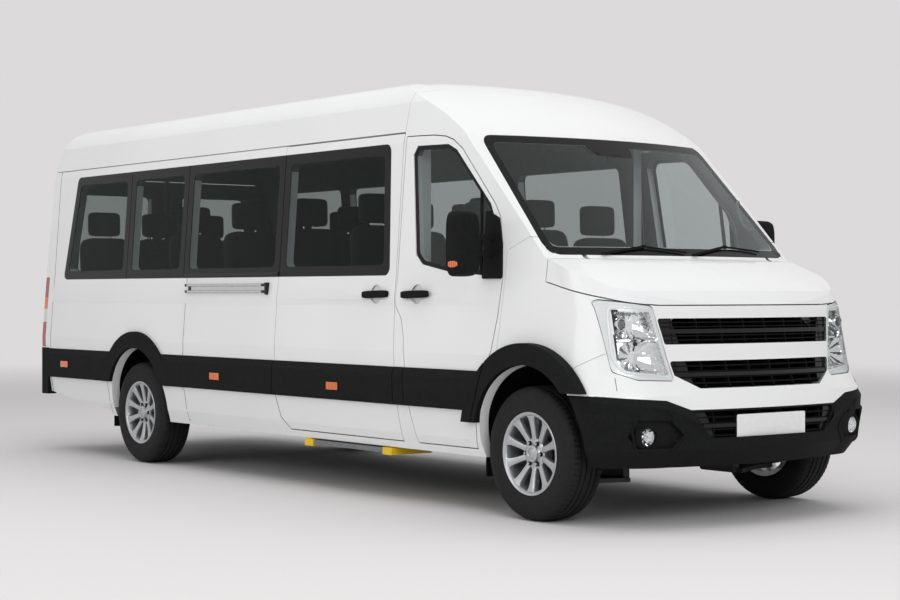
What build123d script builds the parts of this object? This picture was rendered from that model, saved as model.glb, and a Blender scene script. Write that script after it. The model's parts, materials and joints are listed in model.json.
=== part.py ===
"""Long-wheelbase minibus: body panels, glazing, doors, running gear and seats.

Millimetres. +X points to the nose, +Y to the vehicle's left, +Z up.
The origin is on the ground, under the middle of the vehicle's box.
Places along the vehicle are often given ahead of the front axle, by ahead().
"""
from build123d import *
from math import cos, hypot, radians, sin
import os

os.makedirs("parts", exist_ok=True)

# ---------------------------------------------------------------- main sizes
WHEELBASE = 4300.0
FRONT_AXLE_X = 2525.0
REAR_AXLE_X = FRONT_AXLE_X - WHEELBASE
TAIL_X = -3290.0             # skin of the rear doors; the bumper stands further out
TAIL_LEAN = 50.0             # how far the tail leans forward between belt and gutter
REAR_SEAM_X = TAIL_X + 150   # seam between the sides and the rear frame
B_SEAM_X = 1335.0            # body sides are parallel behind this seam
DOOR_SEAM_AHEAD = -250.0     # front edge of the front doors
WALL = 60.0                  # outer skin to inner lining
SEAM = 6.0                   # gap round every moving panel
DRAFT = 0.14                 # how much a door narrows towards the cabin, per mm of depth

# ------------------------------------------------------------- body surface
# Half widths of the shell at each height. "corner" is where the side turns in,
# "front" where the nose begins, "nose" the middle of the nose, all ahead of the axle.
#  z, y_rear, y_door, corner_x, corner_y, front_x, front_y, nose_x
LEVELS = [
    (310, 975, 970, 300, 960, 650, 620, 745),
    (400, 1005, 1000, 340, 995, 715, 650, 820),
    (563, 1030, 1025, 350, 1020, 730, 660, 800),
    (680, 1035, 1030, 345, 1015, 700, 660, 765),
    (780, 1037, 1028, 320, 1000, 640, 660, 725),
    (866, 1038, 1025, 300, 990, 625, 660, 705),
    (1128, 1018, 985, 280, 950, 585, 665, 660),
    (1304, 1003, 958, 150, 935, 500, 700, 600),
    (2072, 947, 895, -100, 875, 300, 650, 500),
    (2130, 935, 883, -100, 860, 300, 650, 500),
    (2305, 900, 850, -100, 820, 300, 650, 500),
]
REAR_BUMPER_TOP = 784.0
BAND_LOW_Z = 563.0
BAND_HIGH_Z = 780.0
BELT_Z = 1304.0
GLASS_TOP_Z = 2072.0
GUTTER_Z = 2130.0
SHOULDER = (620.0, 2445.0)   # top of the roof's side curve
CROWN_Z = 2487.0
BOW_AXIS_AHEAD = -3000.0     # nose, bonnet and windscreen curve about this upright axis
# Middle line of bonnet, windscreen and cap: ahead of the axle, height
BONNET_LINE = [(660, 1135), (600, 1215), (480, 1285), (190, 1392)]
SCREEN_TOP = (-480.0, 2094.0)
CAP_END = (-1700.0, 2490.0)

# ------------------------------------------------------------------- wheels
TYRE_RADIUS = 356.0
KINGPIN_Y = 800.0
SPOKES = 10
HUB_RADIUS = 46.0
SPINDLE_RADIUS = 35.0
RUNNING_GAP = 0.4
ARCH_RADIUS = 415.0
ARCH_Z = 410.0
WELL_RADIUS = 445.0
TRIM_RADIUS = {"front": 530.0, "rear": 520.0}
TRIM_Y = 1060.0

FLOOR_Z = 600.0
FLOOR_THICK = 40.0
RAIL_Y = 430.0


def ahead(distance):
    """X of a place given ahead of the front axle."""
    return FRONT_AXLE_X + distance


def inset(points, amount):
    """A closed outline moved inwards by amount, with mitred corners."""
    count = len(points)
    area = sum(points[i - 1][0] * points[i][1] - points[i][0] * points[i - 1][1] for i in range(count))
    turn = 1.0 if area > 0 else -1.0
    moved = []
    for i in range(count):
        before, here, after = points[i - 1], points[i], points[(i + 1) % count]
        normals = []
        for start, end in ((before, here), (here, after)):
            length = hypot(end[0] - start[0], end[1] - start[1])
            normals.append((-turn * (end[1] - start[1]) / length, turn * (end[0] - start[0]) / length))
        (ax, ay), (bx, by) = normals
        share = amount / (1.0 + ax * bx + ay * by)
        moved.append((here[0] + share * (ax + bx), here[1] + share * (ay + by)))
    return moved


def flat(points, radius=0.0):
    """A face from a closed outline, its corners rounded if a radius is given."""
    face = make_face(Polyline(*points, close=True))
    return fillet(face.vertices(), radius) if radius else face


def prism_y(points, y_low, y_high, radius=0.0):
    """An outline in X and Z, solid between two planes across the vehicle."""
    plane = Plane(origin=(0, y_high, 0), x_dir=(1, 0, 0), z_dir=(0, -1, 0))
    return extrude(plane * flat(points, radius), amount=y_high - y_low)


def prism_x(points, x_low, x_high, radius=0.0):
    """An outline in Y and Z, solid between two planes along the vehicle."""
    plane = Plane(origin=(x_low, 0, 0), x_dir=(0, 1, 0), z_dir=(1, 0, 0))
    return extrude(plane * flat(points, radius), amount=x_high - x_low)


def prism_z(points, z_low, z_high, radius=0.0):
    """An outline in X and Y, solid between two heights."""
    return extrude(Plane.XY.offset(z_low) * flat(points, radius), amount=z_high - z_low)


def block(x_low, x_high, y_low, y_high, z_low, z_high):
    """A plain box given by its limits."""
    size = (x_high - x_low, y_high - y_low, z_high - z_low)
    middle = ((x_low + x_high) / 2, (y_low + y_high) / 2, (z_low + z_high) / 2)
    return Pos(*middle) * Box(*size)


def rod_y(x, z, radius, y_low, y_high):
    """A round bar across the vehicle."""
    plane = Plane(origin=(x, y_high, z), x_dir=(1, 0, 0), z_dir=(0, -1, 0))
    return extrude(plane * Circle(radius), amount=y_high - y_low)


def rod_z(x, y, radius, z_low, z_high):
    """A round upright bar."""
    return extrude(Plane.XY.offset(z_low) * Pos(x, y) * Circle(radius), amount=z_high - z_low)


def rod_x(y, z, radius, x_low, x_high):
    """A round bar along the vehicle."""
    plane = Plane(origin=(x_low, y, z), x_dir=(0, 1, 0), z_dir=(1, 0, 0))
    return extrude(plane * Circle(radius), amount=x_high - x_low)


def mirrored(shape):
    """The same piece on the other side of the vehicle."""
    return mirror(shape, about=Plane.XZ)


def both(shape):
    """A piece and its mirror image, as separate solids."""
    return list(shape.solids()) + list(mirrored(shape).solids())


def save(name, *shapes):
    """Write the solids of one sub-part."""
    solids = []
    for shape in shapes:
        solids += shape if isinstance(shape, list) else list(shape.solids())
    piece = solids[0] if len(solids) == 1 else Compound(children=solids)
    export_step(piece, f"parts/{name}.step")


# ---------------------------------------------------------- shell of the body
def section(x, column, depth, base_z, curve):
    """Cross-section at x, moved in by depth: flat sides, curved shoulders, crowned roof."""
    side = [(row[column] - depth, max(row[0], base_z)) for row in LEVELS]
    side[0] = (side[0][0], base_z)
    narrow = LEVELS[-1][1] - LEVELS[-1][column]
    side[-1] = (side[-1][0], side[-1][1] - 0.3 * depth)
    shoulder = (SHOULDER[0] - narrow - 0.3 * depth, SHOULDER[1] - depth)
    turn = (0.62 * side[-1][0] + 0.38 * shoulder[0] + 22, 0.38 * side[-1][1] + 0.62 * shoulder[1] + 10)
    opposite = [(-y, z) for y, z in side]
    edges = [
        Polyline(*side),
        curve(side[-1], turn, shoulder),
        curve(shoulder, (0, CROWN_Z - depth), (-shoulder[0], shoulder[1])),
        curve((-shoulder[0], shoulder[1]), (-turn[0], turn[1]), opposite[-1]),
        Polyline(*reversed(opposite)),
        Line(opposite[0], side[0]),
    ]
    plane = Plane(origin=(x, 0, 0), x_dir=(0, 1, 0), z_dir=(1, 0, 0))
    return plane * make_face(Curve() + edges)


def nose_plan(row, depth, z, curve):
    """Outline of the nose at one height: straight sides, round corners, bowed front."""
    _, _, y_door, corner_x, corner_y, front_x, front_y, nose_x = row
    start = (ahead(DOOR_SEAM_AHEAD), y_door - depth)
    corner = (ahead(corner_x - 0.3 * depth), corner_y - depth)
    front = (ahead(front_x - depth), front_y - 0.3 * depth)
    tip = (ahead(nose_x - depth), 0)
    knee = (0.3 * corner[0] + 0.7 * front[0], 0.7 * corner[1] + 0.3 * front[1])
    edges = [
        Line(start, corner),
        curve(corner, knee, front),
        curve(front, tip, (front[0], -front[1])),
        curve((front[0], -front[1]), (knee[0], -knee[1]), (corner[0], -corner[1])),
        Line((corner[0], -corner[1]), (start[0], -start[1])),
        Line((start[0], -start[1]), start),
    ]
    return Plane.XY.offset(z) * make_face(Curve() + edges)


def body_limits(depth, curve):
    """What bounds the shell in side view: tail, roof cap, windscreen and bonnet."""
    axis_x = ahead(BOW_AXIS_AHEAD)
    top, end = SCREEN_TOP, CAP_END
    rise, run = end[1] - top[1], top[0] - end[0]
    radius = (run * run + rise * rise) / (2 * rise)
    half_angle = Vector(run, radius - rise).get_angle(Vector(0, 1)) / 2
    middle = (end[0] + radius * sin(radians(half_angle)), end[1] - radius * (1 - cos(radians(half_angle))))
    points = [(BOW_AXIS_AHEAD, 100), (950, 100), (950, 1060), *BONNET_LINE, top, middle, end,
              (BOW_AXIS_AHEAD, end[1])]
    outline = [(x - BOW_AXIS_AHEAD, z) for x, z in inset(points, depth)]
    outline[0] = (0, 100)
    outline[-1] = (0, outline[-1][1])
    edges = [Polyline(*outline[:-3]), curve(*outline[-4:-1]), Polyline(*outline[-2:], outline[0])]
    plane = Plane(origin=(axis_x, 0, 0), x_dir=(0, -1, 0), z_dir=(-1, 0, 0))
    bow_axis = Axis((axis_x, 0, 0), (0, 0, 1))
    front = revolve(plane * make_face(Curve() + edges), axis=bow_axis, revolution_arc=180)
    rear_points = [(axis_x, 100), (TAIL_X + depth, 100), (TAIL_X + depth, BELT_Z),
                   (TAIL_X + TAIL_LEAN + depth, GUTTER_Z + 60),
                   (TAIL_X + TAIL_LEAN + 70 + depth, 2400 - depth),
                   (TAIL_X + TAIL_LEAN + 230 + depth, end[1] - depth), (axis_x, end[1] - depth)]
    rear = prism_y(rear_points, -1200, 1200)
    return front + rear


def hull(depth=0.0, base_z=LEVELS[0][0], curve=ThreePointArc):
    """The whole body as one solid, its surface moved in by depth.

    Its round stretches are arcs, or with curve=Polyline the chords of a plain inner lining.
    """
    rear = section(TAIL_X - 50, 1, depth, base_z, curve)
    middle = section(B_SEAM_X, 1, depth, base_z, curve)
    door = section(ahead(DOOR_SEAM_AHEAD), 2, depth, base_z, curve)
    cabin = loft([rear, middle], ruled=True) + loft([middle, door], ruled=True)
    heights = [base_z] + [row[0] for row in LEVELS[1:9]]
    plans = [nose_plan(row, depth, z, curve) for row, z in zip(LEVELS, heights)]
    nose = loft(plans, ruled=True)
    return (cabin + nose) & body_limits(depth, curve)


def plug(outline, gap=0.0, side=-1):
    """A door's space in the body side, narrowing towards the cabin."""
    depth = 400.0
    wide = Plane(origin=(0, side * (TRIM_Y + 2), 0), x_dir=(1, 0, 0), z_dir=(0, -1, 0))
    deep = Plane(origin=(0, side * (TRIM_Y + 2 - depth), 0), x_dir=(1, 0, 0), z_dir=(0, -1, 0))
    narrowed = inset(outline, DRAFT * depth - gap)
    return loft([wide * flat(inset(outline, -gap)), deep * flat(narrowed)], ruled=True)


def tail_plug(outline, gap=0.0):
    """A rear door's space in the tail, narrowing towards the cabin."""
    depth = 200.0
    wide = Plane(origin=(TAIL_X - 2, 0, 0), x_dir=(0, 1, 0), z_dir=(1, 0, 0))
    deep = Plane(origin=(TAIL_X - 2 + depth, 0, 0), x_dir=(0, 1, 0), z_dir=(1, 0, 0))
    narrowed = inset(outline, DRAFT * depth - gap)
    return loft([wide * flat(inset(outline, -gap)), deep * flat(narrowed)], ruled=True)


def places(points):
    """An outline given ahead of the front axle, as X and Z."""
    return [(ahead(x), z) for x, z in points]


FAR = 1300.0                 # beyond every side of the vehicle
FLUSH = 6.0                  # thickness of bonded glass
BOND = 0.3                   # gap between glass and its seat
FRIT = 62.0                  # width of the black border round each side pane

# ------------------------------------------------------------------ outlines
FRONT_DOOR = places([
    (-1180, 2120), (-925, 2115), (-815, 2102), (-741, 2078), (-655, 2020), (-353, 1700), (-300, 1620),
    (-270, 1450), (-255, 1270), (-263, 1080), (-290, 890), (-360, 720), (-420, 550), (-440, 345),
    (-990, 345), (-1025, 500), (-1085, 950), (-1115, 1050), (-1180, 1130)])
DOOR_WINDOW = places([
    (-1095, 1990), (-1060, 2045), (-790, 2040), (-715, 2005), (-400, 1690), (-330, 1550), (-330, 1290),
    (-745, 1325), (-960, 1365), (-1020, 1420)])
SLIDING_DOOR = [
    (75, 2124), (75, 560), (110, 430), (200, 355), (1392, 355), (1345, 1000), (1333, 1250), (1333, 2124)]
SIDE_GLASS = [(-2985, BELT_Z), (1272, BELT_Z), (1212, GLASS_TOP_Z), (-2840, GLASS_TOP_Z)]
PANE_SEAMS = [-1975.0, -1145.0, 75.0]
BONNET = places([
    (30, 1500), (30, 1368), (58, 1268), (190, 1236), (450, 1180), (588, 1142), (900, 1142), (900, 1500)])
BONNET_REAR_RADIUS = 3215.0  # plan radius of the bonnet's rear edge
NOSE = places([(-244, 200), (-244, 1430), (-80, 1500), (160, 1500), (240, 1396), (950, 1396), (950, 200)])
SCREEN = [(-905, 1405), (-845, 2085), (845, 2085), (905, 1405)]
REAR_DOOR = [(-6, 800), (-6, 2100), (-845, 2100), (-905, 1400), (-905, 800)]
REAR_WINDOW = [(-95, 1330), (-95, 2010), (-770, 2010), (-815, 1330)]
HEADLAMP = [(-668, 1136), (-586, 752), (-800, 760), (-900, 800), (-918, 1172)]
BUMPER_EDGE = [
    (-1200, 690), (-680, 655), (-540, 604), (540, 604), (680, 655), (1200, 690), (1200, 100), (-1200, 100)]
UPPER_GRILLE = [(-646, 1072), (-616, 938), (616, 938), (646, 1072)]
LOWER_GRILLE = [(-600, 853), (-582, 780), (-452, 712), (452, 712), (582, 780), (600, 853)]
INTAKE = [(-535, 596), (-427, 460), (427, 460), (535, 596)]

# -------------------------------------------------------------- body panels
outer = hull()
inner = hull(WALL, 150.0, Polyline)
glass_back = hull(FLUSH, 150.0)
glass_seat = hull(FLUSH + BOND, 150.0)
pocket_back = hull(2 * FLUSH, 150.0)
shell = outer - inner
glazing = outer - glass_back
recess = outer - glass_seat

right_half = block(-4000, 4000, -FAR, -500, 0, 3000)
left_half = mirrored(right_half)
arches = Part() + [
    rod_y(axle_x + 10, ARCH_Z, ARCH_RADIUS - shrink, -FAR, FAR)
    for axle_x, shrink in ((FRONT_AXLE_X, 0), (REAR_AXLE_X, 12))]
tail_cut = block(TAIL_X - 80, TAIL_X + 122, -FAR, FAR, 0, REAR_BUMPER_TOP)
skirt_rise = prism_y([(-2216, 340), (TAIL_X + 100, 455), (TAIL_X + 100, 200), (-2216, 200)], -FAR, FAR)
door_space = prism_y(SLIDING_DOOR, -FAR, -500)
door_opening = prism_y(inset(SLIDING_DOOR, -SEAM), -FAR, -500)
seam_lines = block(TAIL_X - 80, B_SEAM_X, -FAR, FAR, GUTTER_Z - SEAM / 2, GUTTER_Z + SEAM / 2)
seam_lines = seam_lines + [
    block(x - SEAM / 2, x + SEAM / 2, -FAR, FAR, 0, top_z)
    for x, top_z in ((REAR_SEAM_X, GUTTER_Z), (B_SEAM_X, 2600))]
grooves = (outer - pocket_back) & (seam_lines - door_opening)
body = shell - arches - tail_cut - skirt_rise - grooves

pane_slots = Part() + [
    block(x - SEAM / 2, x + SEAM / 2, -FAR, FAR, BELT_Z - 20, GLASS_TOP_Z + 20) for x in PANE_SEAMS]
side_panes = (glazing & prism_y(SIDE_GLASS, -FAR, FAR, 50)) - pane_slots
side_panes = [pane for pane in side_panes.solids() if abs(pane.center().Y) > 500]
pane_edges = [min(SIDE_GLASS)[0], *PANE_SEAMS, SIDE_GLASS[1][0]]
glass_recess = recess & prism_y(inset(SIDE_GLASS, -BOND), -FAR, FAR, 50) & (right_half + left_half)
apertures = []
for rear_x, front_x in zip(pane_edges, pane_edges[1:]):
    rear_top = rear_x + (145 if rear_x == pane_edges[0] else 0)
    front_top = front_x - (60 if front_x == pane_edges[-1] else 0)
    pane = [(rear_x, BELT_Z), (front_x, BELT_Z), (front_top, GLASS_TOP_Z), (rear_top, GLASS_TOP_Z)]
    apertures.append(prism_y(inset(pane, FRIT), -FAR, FAR, 45))
windowed = body - glass_recess - (Part() + apertures)

HANDLE_Z = 1195.0
CUP_RADIUS = 55.0            # round hollow behind each door handle
FRONT_HANDLE = (ahead(-985), -992.0)
SLIDE_HANDLE = (ahead(-1375), -1001.0)
windowed = windowed - rod_y(SLIDE_HANDLE[0], HANDLE_Z, CUP_RADIUS, -FAR, SLIDE_HANDLE[1])

sides = windowed & block(REAR_SEAM_X, B_SEAM_X, -FAR, FAR, 0, GUTTER_Z)
sliding_door = (windowed & door_space)
side_right = (sides & right_half) - door_opening
side_left = sides & left_half
roof_panel = body & block(TAIL_X - 80, B_SEAM_X, -FAR, FAR, GUTTER_Z, 2600)

rear_plugs = tail_plug(REAR_DOOR, SEAM) + mirrored(tail_plug(REAR_DOOR, SEAM))
lamp_zone = block(TAIL_X - 10, TAIL_X + 62, -1100, -925, 792, 1322)
tail_lamp = outer & lamp_zone
lamp_room = block(TAIL_X - 20, TAIL_X + 62 + BOND, -1200, -925 + BOND, 792 - BOND, 1322 + BOND)
rear_frame = (body & block(TAIL_X - 80, REAR_SEAM_X, -FAR, FAR, 0, GUTTER_Z)) - rear_plugs
rear_frame = rear_frame - lamp_room - mirrored(lamp_room)
rear_window = prism_x(REAR_WINDOW, TAIL_X - 20, TAIL_X + 200, 40)
rear_window_seat = prism_x(inset(REAR_WINDOW, -BOND), TAIL_X - 20, TAIL_X + 200, 40)
rear_window_hole = prism_x(inset(REAR_WINDOW, 45), TAIL_X - 20, TAIL_X + 200, 20)
rear_door = (shell & tail_plug(REAR_DOOR)) - (recess & rear_window_seat) - rear_window_hole
rear_glass = glazing & rear_window

HINGE_RADIUS = 12.0
HINGE_PIN_RADIUS = 5.0
HINGE_HALF = 14.0            # half height of the knuckle that turns with the door
TAIL_HINGE = (TAIL_X - 2, -906.0)
TAIL_HINGES_Z = (880.0, 1370.0)
for z in TAIL_HINGES_Z:
    x, y = TAIL_HINGE
    pin = rod_z(x, y, HINGE_PIN_RADIUS, z - 40, z + 40)
    fixed = rod_z(x, y, HINGE_RADIUS, z - 40, z + 40) + block(x - 8, x + 8, y - 18, y, z - 40, z + 40)
    fixed = fixed - block(x - 14, x + 14, y - 19, y + 14, z - HINGE_HALF - BOND, z + HINGE_HALF + BOND) + pin
    turning = rod_z(x, y, HINGE_RADIUS, z - HINGE_HALF, z + HINGE_HALF)
    turning = turning + block(x - 8, x + 10, y, y + 46, z - HINGE_HALF, z + HINGE_HALF)
    room = rod_z(x, y, HINGE_RADIUS + 1, z - 41, z + 41)
    rear_door = rear_door - room + turning - rod_z(x, y, HINGE_PIN_RADIUS + BOND, z - 50, z + 50)
    rear_frame = rear_frame - room - mirrored(room) + fixed + mirrored(fixed)

front_plug = plug(FRONT_DOOR)
front_gap = plug(FRONT_DOOR, SEAM)
door_hole = prism_y(DOOR_WINDOW, -FAR, -500)
front_cup = rod_y(FRONT_HANDLE[0], HANDLE_Z, CUP_RADIUS, -FAR, FRONT_HANDLE[1])
front_door = (body & front_plug) - door_hole - front_cup
door_glass = (glass_seat - pocket_back) & prism_y(inset(DOOR_WINDOW, BOND), -FAR, -500)

screen = prism_x(SCREEN, ahead(-1000), ahead(500), 70)
screen_seat = prism_x(inset(SCREEN, -BOND), ahead(-1000), ahead(500), 70)
screen_hole = prism_x(inset(SCREEN, 45), ahead(-1000), ahead(500), 45)
windscreen = glazing & screen

bow = rod_z(ahead(BOW_AXIS_AHEAD), 0, BONNET_REAR_RADIUS, 900, 1700)
bow_gap = rod_z(ahead(BOW_AXIS_AHEAD), 0, BONNET_REAR_RADIUS - SEAM, 900, 1700)
nose_zone = prism_y(NOSE, -FAR, FAR)
nose_body = body & nose_zone
bonnet = (nose_body & prism_y(BONNET, -FAR, FAR)) - bow
bonnet_gap = prism_y(inset(BONNET, -SEAM), -FAR, FAR) - bow_gap
below_bonnet = nose_body - bonnet_gap

BONNET_HINGE = (2598.0, 1390.0)
BONNET_HINGES_Y = (-710.0, 690.0)
HINGE_ARM = [(-10, 0), (-10, -50), (80, -50), (80, -22), (34, -28), (12, -30), (10, 0)]
arm_line = [(BONNET_HINGE[0] + x, BONNET_HINGE[1] + z) for x, z in HINGE_ARM]
bonnet_pins = []
for y in BONNET_HINGES_Y:
    arm = prism_y(arm_line, y, y + 20) + rod_y(*BONNET_HINGE, 10, y, y + 20)
    bonnet = bonnet + (arm - rod_y(*BONNET_HINGE, HINGE_PIN_RADIUS + BOND, y - 1, y + 21))
    below_bonnet = below_bonnet - block(BONNET_HINGE[0] - 18, BONNET_HINGE[0] + 66, y - 4, y + 24, 1320, 1500)
    bonnet_pins.append(rod_y(*BONNET_HINGE, HINGE_PIN_RADIUS, y - 10, y + 30))

bumper_zone = prism_x(BUMPER_EDGE, ahead(330), ahead(1000))
bumper_gap = prism_x(inset(BUMPER_EDGE, -2), ahead(328), ahead(1000))
PANEL = places([(340, 500), (340, 812), (555, 920), (555, 1300), (1000, 1300), (1000, 500)])
panel_zone = prism_y(PANEL, -FAR, FAR)
panel_gap = prism_y(inset(PANEL, -2), -FAR, FAR)
lamp = prism_x(HEADLAMP, ahead(300), ahead(1000), 22)
lamp_gap = prism_x(inset(HEADLAMP, -2), ahead(300), ahead(1000), 24)
lamp_gaps = lamp_gap + mirrored(lamp_gap)
grille_hole = Part() + [prism_x(shape, ahead(400), ahead(1000), 14) for shape in (UPPER_GRILLE, LOWER_GRILLE)]
intake_hole = prism_x(INTAKE, ahead(400), ahead(1000), 14)

FOG = (772.0, 474.0)
FOG_RADIUS = 45.0
FOG_BEZEL = [(-590, 480), (-665, 560), (-845, 560), (-880, 475), (-830, 415), (-650, 415)]
FOG_BEZEL_DEPTH = 22.0
fog_hole = rod_x(-FOG[0], FOG[1], FOG_RADIUS + BOND, ahead(500), ahead(1000))
PLATE = (259.0, 443.0, 576.0)
plate_pad = block(ahead(772), ahead(786), -PLATE[0], PLATE[0], PLATE[1], PLATE[2])
plate_room = block(ahead(700), ahead(800), -PLATE[0] - 3, PLATE[0] + 3, PLATE[1] - 3, PLATE[2] + 3)
bumper_front = (below_bonnet & bumper_zone) - intake_hole - fog_hole - mirrored(fog_hole)
fog_bezel = prism_x(FOG_BEZEL, ahead(400), ahead(1000)) & (outer - hull(FOG_BEZEL_DEPTH))
bumper_front = bumper_front - fog_bezel - mirrored(fog_bezel) + plate_pad
front_panel = (below_bonnet & panel_zone) - bumper_gap - lamp_gaps - grille_hole
wings_and_cowl = below_bonnet - bumper_gap - panel_gap - lamp_gaps - front_gap - mirrored(front_gap)
wings_and_cowl = wings_and_cowl - (recess & screen_seat) - screen_hole + bonnet_pins
headlamp = nose_body & lamp
fog_lamp = rod_x(-FOG[0], FOG[1], FOG_RADIUS, ahead(590), ahead(620))

THIN_SLATS = (470, 502, 534, 566, 738, 768, 798, 826, 960, 982, 1028, 1050)
THICK_SLATS = (518, 783, 1005)
slats = Part() + [block(ahead(400), ahead(900), -700, 700, z - 3, z + 3) for z in THIN_SLATS]
slats = slats + [block(ahead(400), ahead(900), -700, 700, z - 9, z + 9) for z in THICK_SLATS]
fins = Part() + [block(ahead(400), ahead(900), y - 3, y + 3, 400, 1100) for y in range(-560, 561, 160)]
grille_band = pocket_back - hull(WALL - 15, 150.0, Polyline)
grille = (grille_band & (slats + fins) & (grille_hole + intake_hole)) - plate_room - wings_and_cowl

cab_frame = body & block(B_SEAM_X, ahead(200), -FAR, FAR, 0, 2600)
cab_frame = cab_frame - prism_y(inset(NOSE, -2), -FAR, FAR) - front_gap - mirrored(front_gap) - door_opening
cab_frame = cab_frame - (recess & screen_seat) - screen_hole
pillar = block(B_SEAM_X, B_SEAM_X + 65, -868, -800, FLOOR_Z, 2180) & inner

# ----------------------------------------------------------- black cladding
rings = Part() + [
    rod_y(x + 10, ARCH_Z, TRIM_RADIUS[name], -TRIM_Y, -1000)
    - block(x - 900, x + 900, -FAR, 0, -500, low_z)
    for name, x, low_z in (("front", FRONT_AXLE_X, 500), ("rear", REAR_AXLE_X, 563))]
BAND_PROFILE = [
    (-1000, BAND_LOW_Z), (12 - TRIM_Y, BAND_LOW_Z), (-TRIM_Y, BAND_LOW_Z + 20), (-TRIM_Y, BAND_HIGH_Z - 45),
    (18 - TRIM_Y, BAND_HIGH_Z), (-1000, BAND_HIGH_Z)]
band = prism_x(BAND_PROFILE, TAIL_X + 122, ahead(-200))
clad = (rings + band) - outer - arches - block(ahead(0), ahead(700), -FAR, 0, -500, 690)
door_band = clad & front_plug
clad_fixed = clad - front_gap - door_opening
clad_sliding = clad & door_space
handle, slide_handle = [
    block(x - 130, x + 130, -1042, -900, HANDLE_Z - 23, HANDLE_Z + 23) - outer
    for x, _ in (FRONT_HANDLE, SLIDE_HANDLE)]
front_flap = block(ahead(-470), ahead(-460.3), -915, -790, 195, 540)
rear_flap = block(REAR_AXLE_X - 470, REAR_AXLE_X - 460.3, -960, -790, 230, 540) - shell

SAIL = places([(-430, 1280), (-268, 1280), (-280, 1470), (-318, 1610), (-430, 1660)])
SAIL_THICK = 8.0             # black cover over the front corner of the door window
mirror_case = block(ahead(-415), ahead(-305), -1235, -1065, 1290, 1645)
mirror_case = fillet(mirror_case.edges().filter_by(Axis.X), 36)
mirror_arms = Part() + [block(ahead(-380), ahead(-340), -1070, -945, z, z + 28) for z in (1405, 1490)]
sail = (hull(-SAIL_THICK) - outer) & prism_y(SAIL, -FAR, -500, 12)
mirror_set = mirror_case + (mirror_arms - outer) + sail

# --------------------------------------------------------- floor and chassis
WELLS = [(FRONT_AXLE_X + 10, 540.0), (REAR_AXLE_X + 10, 655.0)]  # middle x, inboard face of each pair
WELL_WALL = 15.0


def well_space(x, well_y, growth=0.0):
    """The room of one pair of wheels inside the body, grown all round."""
    between = block(-4000, 4000, growth - well_y, well_y - growth, 0, 3000)
    return rod_y(x, ARCH_Z, WELL_RADIUS + 10 + growth, -FAR, FAR) - between


wells = Part() + [well_space(x, y) for x, y in WELLS]
well_walls = Part() + [well_space(x, y, WELL_WALL) for x, y in WELLS]
well_walls = well_walls & block(-4000, 4000, -FAR, FAR, 420, 3000) & inner
arm_slots = Part() + [block(ahead(-130), ahead(130), y - 20, y + 20, 490, 535) for y in (-530, 530)]
slab = block(TAIL_X + 70, ahead(-45), -FAR, FAR, FLOOR_Z - FLOOR_THICK, FLOOR_Z)
floor = (slab & inner) - well_walls
bulkhead = block(ahead(-45), ahead(-30), -FAR, FAR, FLOOR_Z - FLOOR_THICK, 1250)
bulkhead = (bulkhead & inner) - well_walls
wheel_wells = well_walls - wells - arm_slots

rails = Part() + [
    block(-3190, ahead(640), y - 30, y + 30, 440, FLOOR_Z - FLOOR_THICK) for y in (-RAIL_Y, RAIL_Y)]
CROSSBARS_X = (-3150, -2400, -1150, -300, 700, 1500)
CROSSBAR_Z = 460.0
crossbars = Part() + [block(x - 35, x + 35, -RAIL_Y, RAIL_Y, CROSSBAR_Z, 540) for x in CROSSBARS_X]
beam = block(ahead(580), ahead(640), -600, 600, 450, 550)
tank = fillet(block(-350, 500, 480, 800, 300, FLOOR_Z - FLOOR_THICK).edges().filter_by(Axis.X), 40)
tow_block = block(-3250, -3130, -470, -390, 370, 450)
TOW_RADIUS = 10.0
tow_block = tow_block - rod_x(-RAIL_Y, 405, TOW_RADIUS, -3251, -3150)
step_guides = Part() + [block(x - 30, x + 30, -700, -400, 300.3, 441) for x in (500, 1130)]
chassis = rails + crossbars + beam + tank + tow_block + step_guides

step = block(355 + 90, 1275 - 90, -985, -640, 272, 300)
step = step + [block(x, x + 90, -992, -700, 262, 304) for x in (355, 1185)]
step = step + [block(x - 20, x + 20, -700, -420, 276, 300) for x in (500, 1130)]

# ------------------------------------------------------------- running gear
def rim(x, side):
    """Alloy wheel with its brake disc: barrel, flanges, spokes and hub."""
    profile = [(192, 775), (220.5, 775), (204, 786), (204, 989), (220.5, 1000), (192, 1000)]
    plane = Plane(origin=(x, 0, TYRE_RADIUS), x_dir=(1, 0, 0), z_dir=(0, 0, 1))
    hub_line = Axis((x, 0, TYRE_RADIUS), (0, 1, 0))
    barrel = revolve(plane * flat(profile), axis=hub_line)
    disc = rod_y(x, TYRE_RADIUS, 192, 942, 962)
    window = Pos(x, 0, TYRE_RADIUS) * prism_y([(90, -9), (180, -36), (180, 36), (90, 9)], 930, 980)
    for turn in range(SPOKES):
        disc = disc - window.rotate(hub_line, turn * 360 / SPOKES)
    hub = rod_y(x, TYRE_RADIUS, 82, 905, 966) + rod_y(x, TYRE_RADIUS, HUB_RADIUS, 960, 984)
    brake = rod_y(x, TYRE_RADIUS, 150, 850, 872) + rod_y(x, TYRE_RADIUS, 82, 850, 906)
    wheel = barrel + disc + hub + brake - rod_y(x, TYRE_RADIUS, SPINDLE_RADIUS + RUNNING_GAP, 800, 940)
    return wheel if side > 0 else mirrored(wheel)


def tyre(x, side):
    """Tyre as one ring, its beads between the rim's flanges."""
    profile = [(204.3, 787), (290, 770), (TYRE_RADIUS, 812), (TYRE_RADIUS, 963), (290, 1005), (204.3, 988)]
    plane = Plane(origin=(x, 0, TYRE_RADIUS), x_dir=(1, 0, 0), z_dir=(0, 0, 1))
    ring = revolve(plane * flat(profile), axis=Axis((x, 0, TYRE_RADIUS), (0, 1, 0)))
    return ring if side > 0 else mirrored(ring)


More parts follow.
